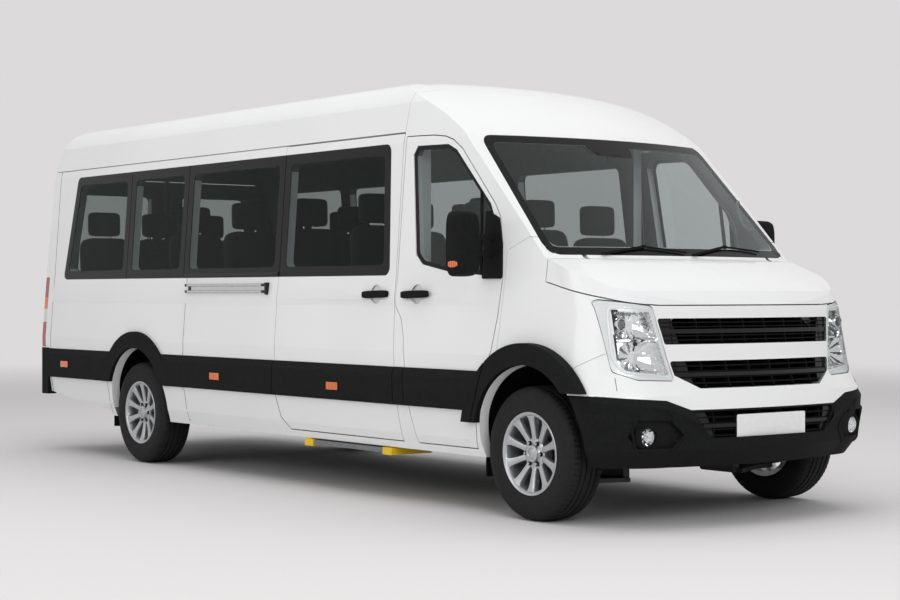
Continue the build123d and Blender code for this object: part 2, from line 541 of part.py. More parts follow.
upright = rod_z(FRONT_AXLE_X, KINGPIN_Y, 28, 210, 500)
upright = upright + block(ahead(-40), ahead(40), KINGPIN_Y - 30, KINGPIN_Y + 30, 250, 460)
spindle = rod_y(FRONT_AXLE_X, TYRE_RADIUS, SPINDLE_RADIUS, KINGPIN_Y - 20, 938)
caliper = block(ahead(-172), ahead(-108), 832, 890, 306, 406)
caliper = caliper - rod_y(FRONT_AXLE_X, TYRE_RADIUS, 156, 844, 878)
bracket = block(ahead(-150), ahead(-30), 790, 840, 326, 386)
knuckle = (upright + spindle + bracket + caliper) - rod_y(FRONT_AXLE_X, TYRE_RADIUS, 88, 842, 905)
knuckle = knuckle + spindle

subframe = block(ahead(-130), ahead(130), -RAIL_Y - 20, RAIL_Y + 20, 300, 390)
subframe = subframe + [block(ahead(-60), ahead(60), y - 25, y + 25, 300, 440) for y in (-RAIL_Y, RAIL_Y)]
LOWER_ARM = places([(-170, 430), (-45, 690), (-28, 830), (28, 830), (45, 690), (170, 430)])
UPPER_ARM = places([(-120, 460), (-38, 690), (-24, 830), (24, 830), (38, 690), (120, 460)])
lower_arm = prism_z(LOWER_ARM, 185, 209.7)
lower_arm = lower_arm + block(ahead(-130), ahead(130), 400, 445, 185, 310)
upper_arm = prism_z(UPPER_ARM, 500.3, 525)
front_axle = subframe + lower_arm + mirrored(lower_arm)

axle_tube = rod_y(REAR_AXLE_X, TYRE_RADIUS, 52, -760, 760)
axle_tube = axle_tube + rod_y(REAR_AXLE_X, TYRE_RADIUS, SPINDLE_RADIUS, -938, 938)
axle_tube = axle_tube + rod_y(REAR_AXLE_X, TYRE_RADIUS, 150, -110, 110)
spring_arc = [(REAR_AXLE_X + x, z) for x, z in ((-680, 470), (-340, 424), (0, 409), (340, 424), (680, 470))]
spring_line = spring_arc + [(x, z + 26) for x, z in reversed(spring_arc)]
spring = prism_y(spring_line, 500, 570) + block(REAR_AXLE_X - 45, REAR_AXLE_X + 45, 490, 580, 300, 410)
spring = spring - rod_y(REAR_AXLE_X, TYRE_RADIUS, 52, 0, 800)
spring = spring + [
    block(x - 25, x + 25, 460.3, 575, 465, FLOOR_Z - FLOOR_THICK)
    for x in (REAR_AXLE_X - 670, REAR_AXLE_X + 670)]

engine = block(ahead(10), ahead(520), -240, 240, 390, 1020)
PIPE_END_X = -1200.0
pipe = rod_x(-300, 395, 32, PIPE_END_X, ahead(-150)) + block(-700, 100, -380, -240, 340, CROSSBAR_Z - BOND)
pipe = pipe + rod_y(PIPE_END_X, 395, 32, -700, -268)

# ------------------------------------------------------------------- inside
DASH = places([
    (-46, 900), (-46, 1251), (20, 1251), (20, 1385), (-320, 1350), (-420, 1280), (-410, 940), (-300, 900)])
dashboard = (prism_y(DASH, -FAR, FAR) & inner) - front_gap - mirrored(front_gap) - bonnet_gap
WHEEL_HUB = (ahead(-600), -450.0, 1150.0)
column_plane = Plane(origin=WHEEL_HUB, x_dir=(0, 1, 0), z_dir=(-0.65, 0, 0.76))
steering = column_plane * (Cylinder(198, 24) - Cylinder(172, 24) + Cylinder(45, 40) + Box(360, 30, 14))
steering = steering + column_plane * Pos(0, 0, -155) * Cylinder(35, 310)
dashboard = dashboard + steering

SEAT_ROWS = [  # x of the seats' backs, height of their cushions, y of each seat
    (1480, 960, (-450, 450)),
    (620, 1040, (-610, 260, 700)),
    (-140, 1040, (-610, 260, 700)),
    (-900, 1040, (-610, 260, 700)),
    (-1660, 1040, (-610, 260, 700)),
    (-2900, 1040, (-690, -230, 230, 690)),
]
cushion = block(-10, 500, -215, 215, -110, 0)
back = prism_y([(0, BOND), (110, BOND), (40, 580), (-60, 580)], -215, 215)
headrest = prism_y([(-70, 595), (10, 595), (0, 780), (-75, 780)], -130, 130)
headrest = headrest + block(-33, -17, -60, 60, 560, 610)
seat_bases = []
seat_backs = []
for row_x, cushion_z, seats in SEAT_ROWS:
    pedestal = block(140, 420, 90, 150, FLOOR_Z - cushion_z, -105)
    for y in seats:
        leg = pedestal if y < 0 else mirrored(pedestal)
        seat_bases += (Pos(row_x, y, cushion_z) * (cushion + leg)).solids()
        seat_backs += (Pos(row_x, y, cushion_z) * (back + headrest)).solids()

# ----------------------------------------------------------------- small fittings
MARKERS = [(ahead(-5440), 644), (ahead(-3215), 631), (ahead(-1827), 623)]
markers = Part() + [block(x, x + 120, -TRIM_Y - 6, -TRIM_Y, z, z + 46) for x, z in MARKERS]
rail_bars = Part() + [block(-1075, -30, -1036, -960, z, z + 16) for z in (1190, 1254)]
door_rail = (rail_bars + block(-1075, -30, -1020, -960, 1190, 1270)) - outer


def on_screen(y, z, lift):
    """A point over the windscreen's outside, lift away from the glass."""
    (low_x, low_z), (high_x, high_z) = BONNET_LINE[-1], SCREEN_TOP
    radius = low_x + (z - low_z) * (high_x - low_x) / (high_z - low_z) - BOW_AXIS_AHEAD + lift
    return (ahead(BOW_AXIS_AHEAD) + (radius * radius - y * y) ** 0.5, y, z)


def bar(start, end, half_width):
    """A square bar between two points."""
    line = Vector(*end) - Vector(*start)
    plane = Plane(origin=start, z_dir=line.normalized())
    return extrude(plane * Rectangle(2 * half_width, 2 * half_width), amount=line.length)


WIPER_LIFT = 16.7            # along the vehicle, so that the arms lie just off the glass
WIPERS = [((-600, 1412), (-300, 1455), (-20, 1425)), ((20, 1412), (330, 1462), (640, 1440))]
wipers = []
for points in WIPERS:
    pivot, middle, tip = [on_screen(y, z, WIPER_LIFT) for y, z in points]
    joint = Pos(*middle) * Box(16, 16, 16)
    wipers += (bar(pivot, middle, 6.3) + bar(middle, tip, 5) + joint).solids()

BUMPER_BACK_X = -3345.0
REAR_BUMPER = [
    (TAIL_X + 120, -1046), (TAIL_X + 120, 1046), (TAIL_X + 15, 1046), (BUMPER_BACK_X, 960),
    (BUMPER_BACK_X, -960), (TAIL_X + 15, -1046)]
bumper_rear = prism_z(REAR_BUMPER, 430, REAR_BUMPER_TOP)
bumper_rear = bumper_rear - block(TAIL_X + 5, TAIL_X + 121, -975, 975, 400, 800)

# ------------------------------------------------------------------ sub-parts
save("roof_panel", roof_panel)
save("cab_frame", cab_frame, pillar, mirrored(pillar))
save("side_right", side_right)
save("side_left", side_left)
save("rear_frame", rear_frame)
save("sliding_door", sliding_door)
save("side_glass", side_panes)
save("windscreen", windscreen)
save("wings_and_cowl", wings_and_cowl)
save("bonnet", bonnet)
save("front_panel", front_panel)
save("grille", grille)
save("bumper_front", bumper_front)
save("bumper_rear", bumper_rear)
save("headlamps", both(headlamp), both(fog_lamp))
save("tail_lamps", both(tail_lamp))
save("marker_lamps", both(markers))
save("cladding", clad_fixed, mirrored(clad - front_gap), clad_sliding, slide_handle, both(front_flap),
     both(rear_flap))
save("door_rail", door_rail)
save("wipers", wipers)
save("floor", floor)
save("bulkhead", bulkhead)
save("wheel_wells", wheel_wells)
save("chassis", chassis)
save("side_step", step)
save("engine", engine)
save("exhaust", pipe)
save("front_axle", front_axle, both(upper_arm))
save("rear_axle", axle_tube)
save("leaf_springs", both(spring))
save("dashboard", dashboard)
save("seat_bases", seat_bases)
save("seat_backs", seat_backs)
for side_name, side in (("right", -1), ("left", 1)):
    place = (lambda shape: shape) if side < 0 else mirrored
    save(f"front_door_{side_name}", place(front_door))
    save(f"door_glass_{side_name}", place(door_glass))
    save(f"door_trim_{side_name}", place(door_band), place(handle), place(mirror_set))
    save(f"rear_door_{side_name}", place(rear_door))
    save(f"rear_glass_{side_name}", place(rear_glass))
    save(f"knuckle_{side_name}", mirrored(knuckle) if side < 0 else knuckle)
    for end_name, x in (("front", FRONT_AXLE_X), ("rear", REAR_AXLE_X)):
        save(f"rim_{end_name}_{side_name}", rim(x, side))
        save(f"tyre_{end_name}_{side_name}", tyre(x, side))
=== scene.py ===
# %% [markdown]
# # A long, high-roofed minibus
# The minibus is a pressed-steel body on a ladder frame. Its parts are already
# built at their real size, so this lesson gives them their finish: paint that
# reflects, glass that shows the seats, rubber, cast and polished metal.
# They could all be modelled again here, but then a door would no longer fit its
# opening, so we start by loading the solid parts. Every length is in metres, with
# x towards the front, y towards the vehicle's left and z up.

# %% Load the solid parts
import json
from math import atan2, copysign, cos, exp, hypot, pi, radians, sin, sqrt

import bmesh
import bpy
from mathutils import Matrix, Vector
from mathutils.bvhtree import BVHTree

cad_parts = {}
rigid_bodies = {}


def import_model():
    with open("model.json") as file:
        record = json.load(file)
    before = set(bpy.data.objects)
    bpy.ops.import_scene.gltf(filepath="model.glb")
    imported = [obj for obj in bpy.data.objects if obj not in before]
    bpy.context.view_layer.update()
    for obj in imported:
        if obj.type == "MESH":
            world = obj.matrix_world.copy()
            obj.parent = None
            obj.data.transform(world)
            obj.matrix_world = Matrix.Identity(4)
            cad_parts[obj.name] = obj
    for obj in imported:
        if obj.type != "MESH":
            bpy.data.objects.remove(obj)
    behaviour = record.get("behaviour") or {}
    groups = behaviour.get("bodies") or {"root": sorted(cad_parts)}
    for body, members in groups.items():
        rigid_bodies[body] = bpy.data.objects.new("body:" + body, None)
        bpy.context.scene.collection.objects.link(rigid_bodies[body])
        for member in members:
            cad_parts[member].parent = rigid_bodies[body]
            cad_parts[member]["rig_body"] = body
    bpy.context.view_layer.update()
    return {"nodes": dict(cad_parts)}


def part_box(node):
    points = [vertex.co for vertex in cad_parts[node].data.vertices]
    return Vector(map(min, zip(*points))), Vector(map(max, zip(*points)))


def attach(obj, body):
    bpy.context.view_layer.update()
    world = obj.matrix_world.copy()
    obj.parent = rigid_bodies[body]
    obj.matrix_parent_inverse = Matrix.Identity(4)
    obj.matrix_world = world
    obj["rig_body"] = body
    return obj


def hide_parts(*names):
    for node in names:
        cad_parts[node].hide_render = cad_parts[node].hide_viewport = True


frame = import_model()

BOTH = (("right", -1), ("left", 1))   # the two sides of the vehicle, and the sign of y there

# %% [markdown]
# ## Helpers for finishes
# A finish is a small network of nodes. One helper adds a node with its settings
# and links, so that each recipe below reads like a list of what the finish has.
# Colours are written as the hex values seen on a screen. A shader wants linear
# light, so one function does that step for all of them.

# %% Colour and material helpers
def linear(code, alpha=1.0):
    """A hex colour such as "#f2f3f3" as the linear values that a shader uses."""
    channels = [int(code[i:i + 2], 16) / 255 for i in (1, 3, 5)]
    return [c / 12.92 if c <= 0.04045 else ((c + 0.055) / 1.055) ** 2.4 for c in channels] + [alpha]


def add_node(tree, kind, inputs=None, **settings):
    """Add a node, set its properties and its sockets. A socket given a socket is linked."""
    made = tree.nodes.new(kind)
    for name, value in settings.items():
        setattr(made, name, value)
    for name, value in (inputs or {}).items():
        if isinstance(value, bpy.types.NodeSocket):
            tree.links.new(value, made.inputs[name])
        else:
            made.inputs[name].default_value = value
    return made


def new_finish(name, **sockets):
    """A material with one main shader, its sockets set by name."""
    finish = bpy.data.materials.new(name)
    finish.use_nodes = True
    tree = finish.node_tree
    shader = tree.nodes["Principled BSDF"]
    for socket, value in sockets.items():
        shader.inputs[socket.replace("_", " ")].default_value = value
    return finish, tree, shader


def pattern_scale(size_mm):
    """The scale at which one wave of a noise is size_mm long on the real object."""
    return 1000.0 / size_mm


def bump(tree, shader, height, distance_mm, strength=1.0):
    """Let a height drive the fine relief of a finish."""
    relief = add_node(tree, "ShaderNodeBump", {
        "Height": height, "Distance": distance_mm / 1000, "Strength": strength})
    tree.links.new(relief.outputs["Normal"], shader.inputs["Normal"])


print("a mid grey of a screen as linear light:", round(linear("#808080")[0], 3))

# %% [markdown]
# ## Patterns at their real size
# No real surface is one even colour: it has grain, weave or a slight mottling.
# These could be painted on images, but a computed pattern stays sharp from any
# distance and needs no unwrapping. Its size is given in real millimetres, and it
# is fixed to the piece, so that it moves with a door that opens.

# %% Pattern helpers
def place_coordinates(tree):
    """Places on the piece in metres, the same whatever way the piece was cut into faces."""
    return add_node(tree, "ShaderNodeTexCoord").outputs["Object"]


def noise(tree, size_mm, detail=2.0, roughness=0.5, stretch=None):
    """A soft random pattern whose waves are size_mm long, stretched if asked."""
    where = place_coordinates(tree)
    if stretch:
        where = add_node(tree, "ShaderNodeMapping", {"Vector": where, "Scale": stretch}).outputs["Vector"]
    made = add_node(tree, "ShaderNodeTexNoise", {
        "Vector": where, "Scale": pattern_scale(size_mm), "Detail": detail, "Roughness": roughness})
    return made.outputs["Fac"]


def between(tree, factor, low, high, low_at=0.3, high_at=0.7):
    """A colour ramp between two colours."""
    ramp = add_node(tree, "ShaderNodeValToRGB", {"Fac": factor})
    for element, at, colour in zip(ramp.color_ramp.elements, (low_at, high_at), (low, high)):
        element.position = at
        element.color = colour
    return ramp.outputs["Color"]


def spread(tree, factor, low, high):
    """A pattern's 0 to 1 mapped to a narrow range, for a roughness that varies."""
    made = add_node(tree, "ShaderNodeMapRange", {"Value": factor, "To Min": low, "To Max": high})
    return made.outputs["Result"]


WAVE_PERIOD = pi / 10                # a wave pattern of scale 1 repeats after this length


def wave_scale(period_mm):
    """The scale at which the bands of a wave pattern are period_mm apart on the real object."""
    return pattern_scale(period_mm) * WAVE_PERIOD


print("scales: a grain of 2 mm", pattern_scale(2), "bands of 16 mm", round(wave_scale(16), 1))

# %% [markdown]
# ## Painted panels
# A van's panels are steel pressed in a die, dipped in primer and sprayed white.
# The clear top coat gives a sharp reflection over a soft white, and a very fine
# waviness, called orange peel, that only shows where a reflection runs along it.
# A plain glossy white would do from afar. The coat layer is used here, since it
# keeps the body soft while the highlight on the shoulder stays crisp. Inside, the
# panels are covered with a grained grey lining.

# %% White paint and cabin lining
def make_white_paint():
    """Solid white under clear coat, on pressed steel."""
    finish, tree, shader = new_finish(
        "sprayed_white_paint", Roughness=0.42, Coat_Weight=0.6, Coat_Roughness=0.04, IOR=1.5)
    tint = between(tree, noise(tree, 900, detail=1.0), linear("#eeeff0"), linear("#f2f3f3"))
    tree.links.new(tint, shader.inputs["Base Color"])
    bump(tree, shader, noise(tree, 14), distance_mm=0.05, strength=0.25)
    return finish


def make_lining():
    """Grey moulded lining with a leather-like grain, as on the inside of doors and roof."""
    finish, tree, shader = new_finish("moulded_grey_lining", Roughness=0.75, IOR=1.46)
    tint = between(tree, noise(tree, 40), linear("#6f7273"), linear("#797c7d"))
    tree.links.new(tint, shader.inputs["Base Color"])
    bump(tree, shader, noise(tree, 3, detail=4.0), distance_mm=0.4, strength=0.5)
    return finish


white_paint = make_white_paint()
lining = make_lining()
print("made:", white_paint.name, "and", lining.name)

# %% [markdown]
# ## Moulded plastics and rubber
# Bumpers and lower cladding are grained polypropylene, dyed in the mass, so they
# stay dull and dark where they are scuffed. Tyres are duller still, with a
# little bloom. One recipe serves them all: what differs is the colour, the
# grain of the tool they were moulded in, and how much of the light they mirror.

# %% Plastics and rubber
def make_plastic(name, dark, light, roughness, grain_mm=2.0, relief_mm=0.15, ior=1.46, shine=0.5):
    """Moulded plastic: a base colour with slight mottling and an even grain."""
    finish, tree, shader = new_finish(name, IOR=ior, Specular_IOR_Level=shine)
    tint = between(tree, noise(tree, 25, detail=3.0), linear(dark), linear(light))
    tree.links.new(tint, shader.inputs["Base Color"])
    grain = noise(tree, grain_mm, detail=3.0)
    uneven = spread(tree, noise(tree, 60), roughness - 0.05, roughness + 0.05)
    tree.links.new(uneven, shader.inputs["Roughness"])
    bump(tree, shader, grain, distance_mm=relief_mm, strength=0.6)
    return finish


# Moulded in an etched tool: the grain scatters the light, so it looks dull and dark.
grained_plastic = make_plastic("grained_polypropylene", "#151616", "#1a1b1b", 0.72, shine=0.12)
# Moulded in a polished tool: dark, with a soft sheen on its edges.
smooth_black = make_plastic("gloss_black_abs", "#0e0f10", "#131415", 0.3, relief_mm=0.02, shine=0.35)
# Sprayed underseal is pitted and almost without gloss.
dull_black = make_plastic(
    "black_eva_and_underseal", "#0b0b0c", "#121213", 0.8, grain_mm=6.0, relief_mm=0.6, shine=0.15)
# Vulcanised rubber with soot in it: a warm black that greys a little.
tyre_rubber = make_plastic(
    "tyre_rubber", "#1c1c1d", "#232324", 0.7, grain_mm=1.2, relief_mm=0.2, ior=1.5, shine=0.2)
# A soft moulded skin, dark so that it doesn't mirror in the windscreen.
cabin_plastic = make_plastic("slush_moulded_dashboard", "#27292a", "#2f3132", 0.62)
# Rolled vinyl with grey specks that hide dirt.
floor_covering = make_plastic("speckled_floor_vinyl", "#46484a", "#585b5d", 0.6, grain_mm=8.0)
# Stitched leather, polished by hands.
grained_leather = make_plastic(
    "grained_steering_leather", "#151516", "#1d1d1f", 0.5, grain_mm=1.5, relief_mm=0.2)
# Frosted acrylic spreads the light along its length, so it looks milky.
light_guide = make_plastic("frosted_light_guide", "#e6e8e9", "#eceeee", 0.3, relief_mm=0.02)
# Grey rubber ribs, and bright ends that are seen at night.
step_grip = make_plastic("ribbed_step_rubber", "#6d7072", "#7d8082", 0.6)
safety_yellow = make_plastic("yellow_polyurethane", "#e8c01a", "#f0ca22", 0.45)
# A cast acrylic sheet: an even white with a clean gloss.
plate_white = make_plastic("white_acrylic_plate", "#eceded", "#f0f1f1", 0.25, relief_mm=0.02)
print("plastics and rubbers: 11")

# %% [markdown]
# ## Metals
# The wheels are cast aluminium under silver lacquer, the rail is drawn, the lamp
# bowls are plastic with aluminium steamed onto them in a vacuum, and the parts
# below are iron. A metal colours what it mirrors, so the colour goes on the metal
# shader and its IOR keeps the default. Casting leaves a round grain, drawing a
# long one, which a stretched pattern gives.

# %% Metals
def make_metal(name, colour, roughness, grain_mm=0.0, stretch=None, metallic=1.0, relief_mm=0.03):
    """A metal with a fine grain left by casting, turning or drawing."""
    finish, tree, shader = new_finish(name, Metallic=metallic)
    shader.inputs["Base Color"].default_value = linear(colour)
    if grain_mm:
        grain = noise(tree, grain_mm, detail=3.0, stretch=stretch)
        tree.links.new(spread(tree, grain, roughness - 0.06, roughness + 0.08), shader.inputs["Roughness"])
        bump(tree, shader, grain, distance_mm=relief_mm, strength=0.4)
    else:
        shader.inputs["Roughness"].default_value = roughness
    return finish


# Lacquered metal flake: bright, but never a true mirror.
wheel_silver = make_metal("silver_lacquered_alloy", "#bcbec0", 0.34, grain_mm=3.0, metallic=0.85)
# Sand-cast and oiled: coarse, dark and dull.
cast_iron = make_metal("cast_iron", "#4a4a4c", 0.6, grain_mm=5.0, metallic=0.8, relief_mm=0.5)
# Drawn through a die: fine lines along the bar.
drawn_aluminium = make_metal("drawn_aluminium", "#d7d8d9", 0.25, grain_mm=2.0, stretch=(0.1, 1, 1))
# Steamed on in a vacuum: almost a mirror.
vacuum_chrome = make_metal("vacuum_plated_chrome", "#e9eaeb", 0.08)
# Powder coat over welded steel.
frame_black = make_metal("black_chassis_paint", "#161617", 0.5, grain_mm=8.0, metallic=0.2, relief_mm=0.2)
# Silver lacquer on plastic: pale and satin.
lamp_bezel = make_metal("satin_silver_lamp_bezel", "#edeeee", 0.42, metallic=0.25)
# Painted reflection: a darker chrome for facets, standing in for the dark ground below the vehicle that they
# would mirror.
painted_reflection_chrome = make_metal("painted_dark_reflection_facets", "#4a4c4d", 0.15)
# Rolled stainless steel, a little brown from heat.
exhaust_steel = make_metal("stainless_exhaust_steel", "#8d8a86", 0.38, grain_mm=6.0)
print("metals: 8")

# %% [markdown]
# ## Glass
# Float glass is flat to a hundredth of a millimetre and bends what is behind it
# very little. A solid glass shader would be true, but it shades the cabin and
# adds noise. So each pane is a clear film with a tint, under a mirror that grows
# towards grazing angles. The black border is ceramic fired onto the glass.

# %% Glass
def make_glass(name, tint, ior, mirror_tint):
    """Thin glass: what lies behind, times the tint, under a reflection.

    Thin glass mirrors alike on both sides, so the IOR turns over where a ray meets its back."""
    finish = bpy.data.materials.new(name)
    finish.use_nodes = True
    tree = finish.node_tree
    tree.nodes.remove(tree.nodes["Principled BSDF"])
    see_through = add_node(tree, "ShaderNodeBsdfTransparent", {"Color": linear(tint)})
    mirror = add_node(tree, "ShaderNodeBsdfGlossy", {"Color": linear(mirror_tint), "Roughness": 0.0})
    behind = add_node(tree, "ShaderNodeNewGeometry").outputs["Backfacing"]
    index = add_node(tree, "ShaderNodeMapRange", {"Value": behind, "To Min": ior, "To Max": 1 / ior})
    share = add_node(tree, "ShaderNodeFresnel", {"IOR": index.outputs["Result"]})
    mixed = add_node(tree, "ShaderNodeMixShader", {
        0: share.outputs["Fac"], 1: see_through.outputs["BSDF"], 2: mirror.outputs["BSDF"]})
    tree.links.new(mixed.outputs["Shader"], tree.nodes["Material Output"].inputs["Surface"])
    return finish


# Dyed in the melt, so the cabin behind looks darker and greener.
privacy_glass = make_glass("privacy_glass", "#d9dddc", ior=1.38, mirror_tint="#8f9293")
# Two clear sheets with a film between them, for the screen and the front doors.
clear_glass = make_glass("laminated_clear_glass", "#eaeded", ior=1.42, mirror_tint="#dde1e1")
# Moulded polycarbonate with a hard coat, clearer than glass of that thickness.
lens_clear = make_glass("polycarbonate_lens", "#fdfefe", ior=1.4, mirror_tint="#b4b7b8")
# Glass frit printed on and fired: a deep black with a soft gloss.
ceramic_frit = make_plastic(
    "black_ceramic_frit", "#0c0d0d", "#101111", 0.25, relief_mm=0.01, ior=1.5, shine=0.22)
print("kinds of glass: 3, and the ceramic of their borders")

# %% [markdown]
# ## Lamp lenses
# Tail and marker lamps are acrylic, dyed in the mass, with flutes on the inside
# that break up the bulb's light. The flutes could be cut in the mesh. They are
# narrow, on small parts, so bands of a lighter tint show them well enough.

# %% Lenses
FLUTE_MM = 15.783                    # real flutes are a third as wide, drawn coarser so that they show


def make_lens(name, dark, light):
    """Dyed acrylic over a reflector, seen as a deep glossy colour with fine fluting."""
    finish, tree, shader = new_finish(name, Roughness=0.12, IOR=1.49, Coat_Weight=1.0)
    where = place_coordinates(tree)
    waves = add_node(tree, "ShaderNodeTexWave", {
        "Vector": where, "Scale": wave_scale(FLUTE_MM)}, bands_direction="X")
    tint = between(tree, waves.outputs["Fac"], linear(dark), linear(light), 0.2, 0.8)
    tree.links.new(tint, shader.inputs["Base Color"])
    return finish


red_lens = make_lens("red_acrylic", "#7d0f12", "#b3181c")
pale_lens = make_lens("clear_fluted_acrylic", "#c9cccd", "#e4e6e6")
amber_lens = make_lens("amber_acrylic", "#c4500a", "#f0760f")
print("lenses: 3")

# %% [markdown]
# ## Seat cloth
# The seats are covered with woven polyester: threads that cross over and under,
# with a soft sheen at grazing angles from the loose fibres. Threads of real
# geometry would be far too many. Two sets of waves, one across the other, give
# the weave and its small relief.

# %% Seat cloth
def make_cloth(name, dark, light, thread_mm):
    """Woven upholstery: two sets of threads, with a soft sheen at the edges.

    The real threads are about 0.6 mm apart. They are drawn coarser, so that they show."""
    finish, tree, shader = new_finish(name, Roughness=0.9, IOR=1.45, Sheen_Weight=0.12, Sheen_Roughness=0.5)
    where = place_coordinates(tree)
    sets = []
    for direction in ("X", "Z"):
        wave = add_node(tree, "ShaderNodeTexWave", {
            "Vector": where, "Scale": wave_scale(thread_mm), "Distortion": 0.6},
            bands_direction=direction)
        sets.append(wave.outputs["Fac"])
    weave = add_node(tree, "ShaderNodeMath", {0: sets[0], 1: sets[1]}, operation="MULTIPLY").outputs["Value"]
    tree.links.new(between(tree, weave, linear(dark), linear(light), 0.1, 0.9), shader.inputs["Base Color"])
    bump(tree, shader, weave, distance_mm=0.5, strength=0.5)
    return finish


# Coarse yarn of two greys: the weave shows as a slight check.
seat_cloth = make_cloth("woven_seat_cloth", "#1d1f21", "#2a2d2f", thread_mm=7.892)
# Fine plain yarn, stretched over the firmer sides: flatter and darker.
side_cloth = make_cloth("plain_bolster_cloth", "#161718", "#1e2021", thread_mm=5.919)
print("cloths:", seat_cloth.name, side_cloth.name)

# %% [markdown]
# ## Building blocks for new pieces
# The fine parts are built from a few kinds of form. A pad, a mirror case or a
# spoke is a loft: rows of points joined by quads, as a boat's skin is laid over
# its ribs. Boxes and sculpting would do too, but rows keep every size in plain
# sight. A block is the shortest loft there is.

# %% Lofts and blocks
def loft(mesh, rows, close_rows=False, close_columns=True, caps=False, material=0):
    """Quads through rows of points, each row as long as the others."""
    grid = [[mesh.verts.new(point) for point in row] for row in rows]
    count = len(rows[0])
    pairs = list(zip(grid, grid[1:])) + ([(grid[-1], grid[0])] if close_rows else [])
    made = []
    for near, far in pairs:
        for i in range(count if close_columns else count - 1):
            j = (i + 1) % count
            made.append(mesh.faces.new((near[i], near[j], far[j], far[i])))
    if caps:
        made += [mesh.faces.new(grid[0]), mesh.faces.new(grid[-1])]
    for face in made:
        face.material_index = material
    return made


def slab(mesh, low, high, material=0):
    """A block between two corners."""
    (x0, y0, z0), (x1, y1, z1) = low, high
    rows = [[(x, y0, z0), (x, y1, z0), (x, y1, z1), (x, y0, z1)] for x in (x0, x1)]
    return loft(mesh, rows, caps=True, material=material)


print("helpers: loft, slab")

# %% [markdown]
# ## Turned and bent forms
# A wheel, a lamp lens or a knob is round about one axis, so a profile is turned
# about it. A light guide or a handle is a bar bent along a line. A modifier could
# sweep both. Here each ring of points is placed directly, so that the bar keeps
# its thickness round a bend, and its ends are closed.

# %% Rings and tubes
def turned(mesh, profile, centre, axis, steps=64, material=0):
    """A ring turned about an axis through centre. The profile holds radius and place along the axis."""
    others = [i for i in range(3) if i != axis]
    rows = []
    for k in range(steps):
        angle = 2 * pi * k / steps
        row = []
        for radius, along in profile:
            point = [0.0, 0.0, 0.0]
            point[axis] = along
            point[others[0]] = centre[others[0]] + radius * cos(angle)
            point[others[1]] = centre[others[1]] + radius * sin(angle)
            row.append(point)
        rows.append(row)
    return loft(mesh, rows, close_rows=True, material=material)


def tube(mesh, points, radius, sides=12, closed=False, material=0):
    """A bent round bar through points."""
    points = [Vector(point) for point in points]
    count = len(points)
    rows = []
    across = None
    for i, here in enumerate(points):
        before = points[i - 1] if closed or i else here
        after = points[(i + 1) % count] if closed or i + 1 < count else here
        ahead = (after - before).normalized()
        guide = across or (Vector((0, 0, 1)) if abs(ahead.z) < 0.9 else Vector((1, 0, 0)))
        across = (guide - ahead * guide.dot(ahead)).normalized()
        other = ahead.cross(across)
        turns = [2 * pi * k / sides for k in range(sides)]
        rows.append([here + radius * (cos(turn) * across + sin(turn) * other) for turn in turns])
    return loft(mesh, rows, close_rows=closed, caps=not closed, material=material)


print("helpers: turned, tube")

# %% [markdown]
# ## Sheets with rounded corners
# Panes, seams and plates are thin sheets cut to an outline. Cut flat, they would
# stand off a curved body. So the outline is cut into small faces, and each corner
# is moved to where a placing rule says. Every pressed or cut corner has a small
# radius, which is drawn into the outline first.

# %% Outlines and sheets
def rounded(outline, radius, steps=5):
    """A flat closed outline with its corners turned into arcs, of one radius or one for each corner."""
    points = []
    radii = radius if isinstance(radius, list) else [radius] * len(outline)
    for i, (corner, radius) in enumerate(zip(outline, radii)):
        here = Vector(corner)
        before, after = Vector(outline[i - 1]) - here, Vector(outline[(i + 1) % len(outline)]) - here
        back = min(radius, 0.45 * before.length, 0.45 * after.length)
        start, end = here + before.normalized() * back, here + after.normalized() * back
        for k in range(steps + 1):
            share = k / steps
            points.append((1 - share) ** 2 * start + 2 * share * (1 - share) * here + share ** 2 * end)
    return [tuple(point) for point in points]


def laid_sheet(mesh, outline, axes, place, step=0.03, back=None):
    """A flat outline cut into small faces, each corner moved with place(u, v), thickened towards back."""
    sheet = bmesh.new()
    corners = []
    for values in outline:
        point = [0.0, 0.0, 0.0]
        point[axes[0]], point[axes[1]] = values
        corners.append(sheet.verts.new(point))
    sheet.faces.new(corners)
    for axis, values in zip(axes, zip(*outline)):
        normal = Vector((0, 0, 0))
        normal[axis] = 1
        for k in range(1, int((max(values) - min(values)) / step + 0.75)):
            everything = sheet.verts[:] + sheet.edges[:] + sheet.faces[:]
            line = normal * (min(values) + k * step)
            bmesh.ops.bisect_plane(sheet, geom=everything, plane_co=line, plane_no=normal)
    for corner in sheet.verts:
        corner.co = place(corner.co[axes[0]], corner.co[axes[1]])
    if back:
        thick = bmesh.ops.extrude_face_region(sheet, geom=sheet.faces[:])
        for item in thick["geom"]:
            if isinstance(item, bmesh.types.BMVert):
                item.co += Vector(back)
    carrier = bpy.data.meshes.new("sheet")
    sheet.to_mesh(carrier)
    sheet.free()
    mesh.from_mesh(carrier)
    bpy.data.meshes.remove(carrier)


print("helpers: rounded, laid_sheet")
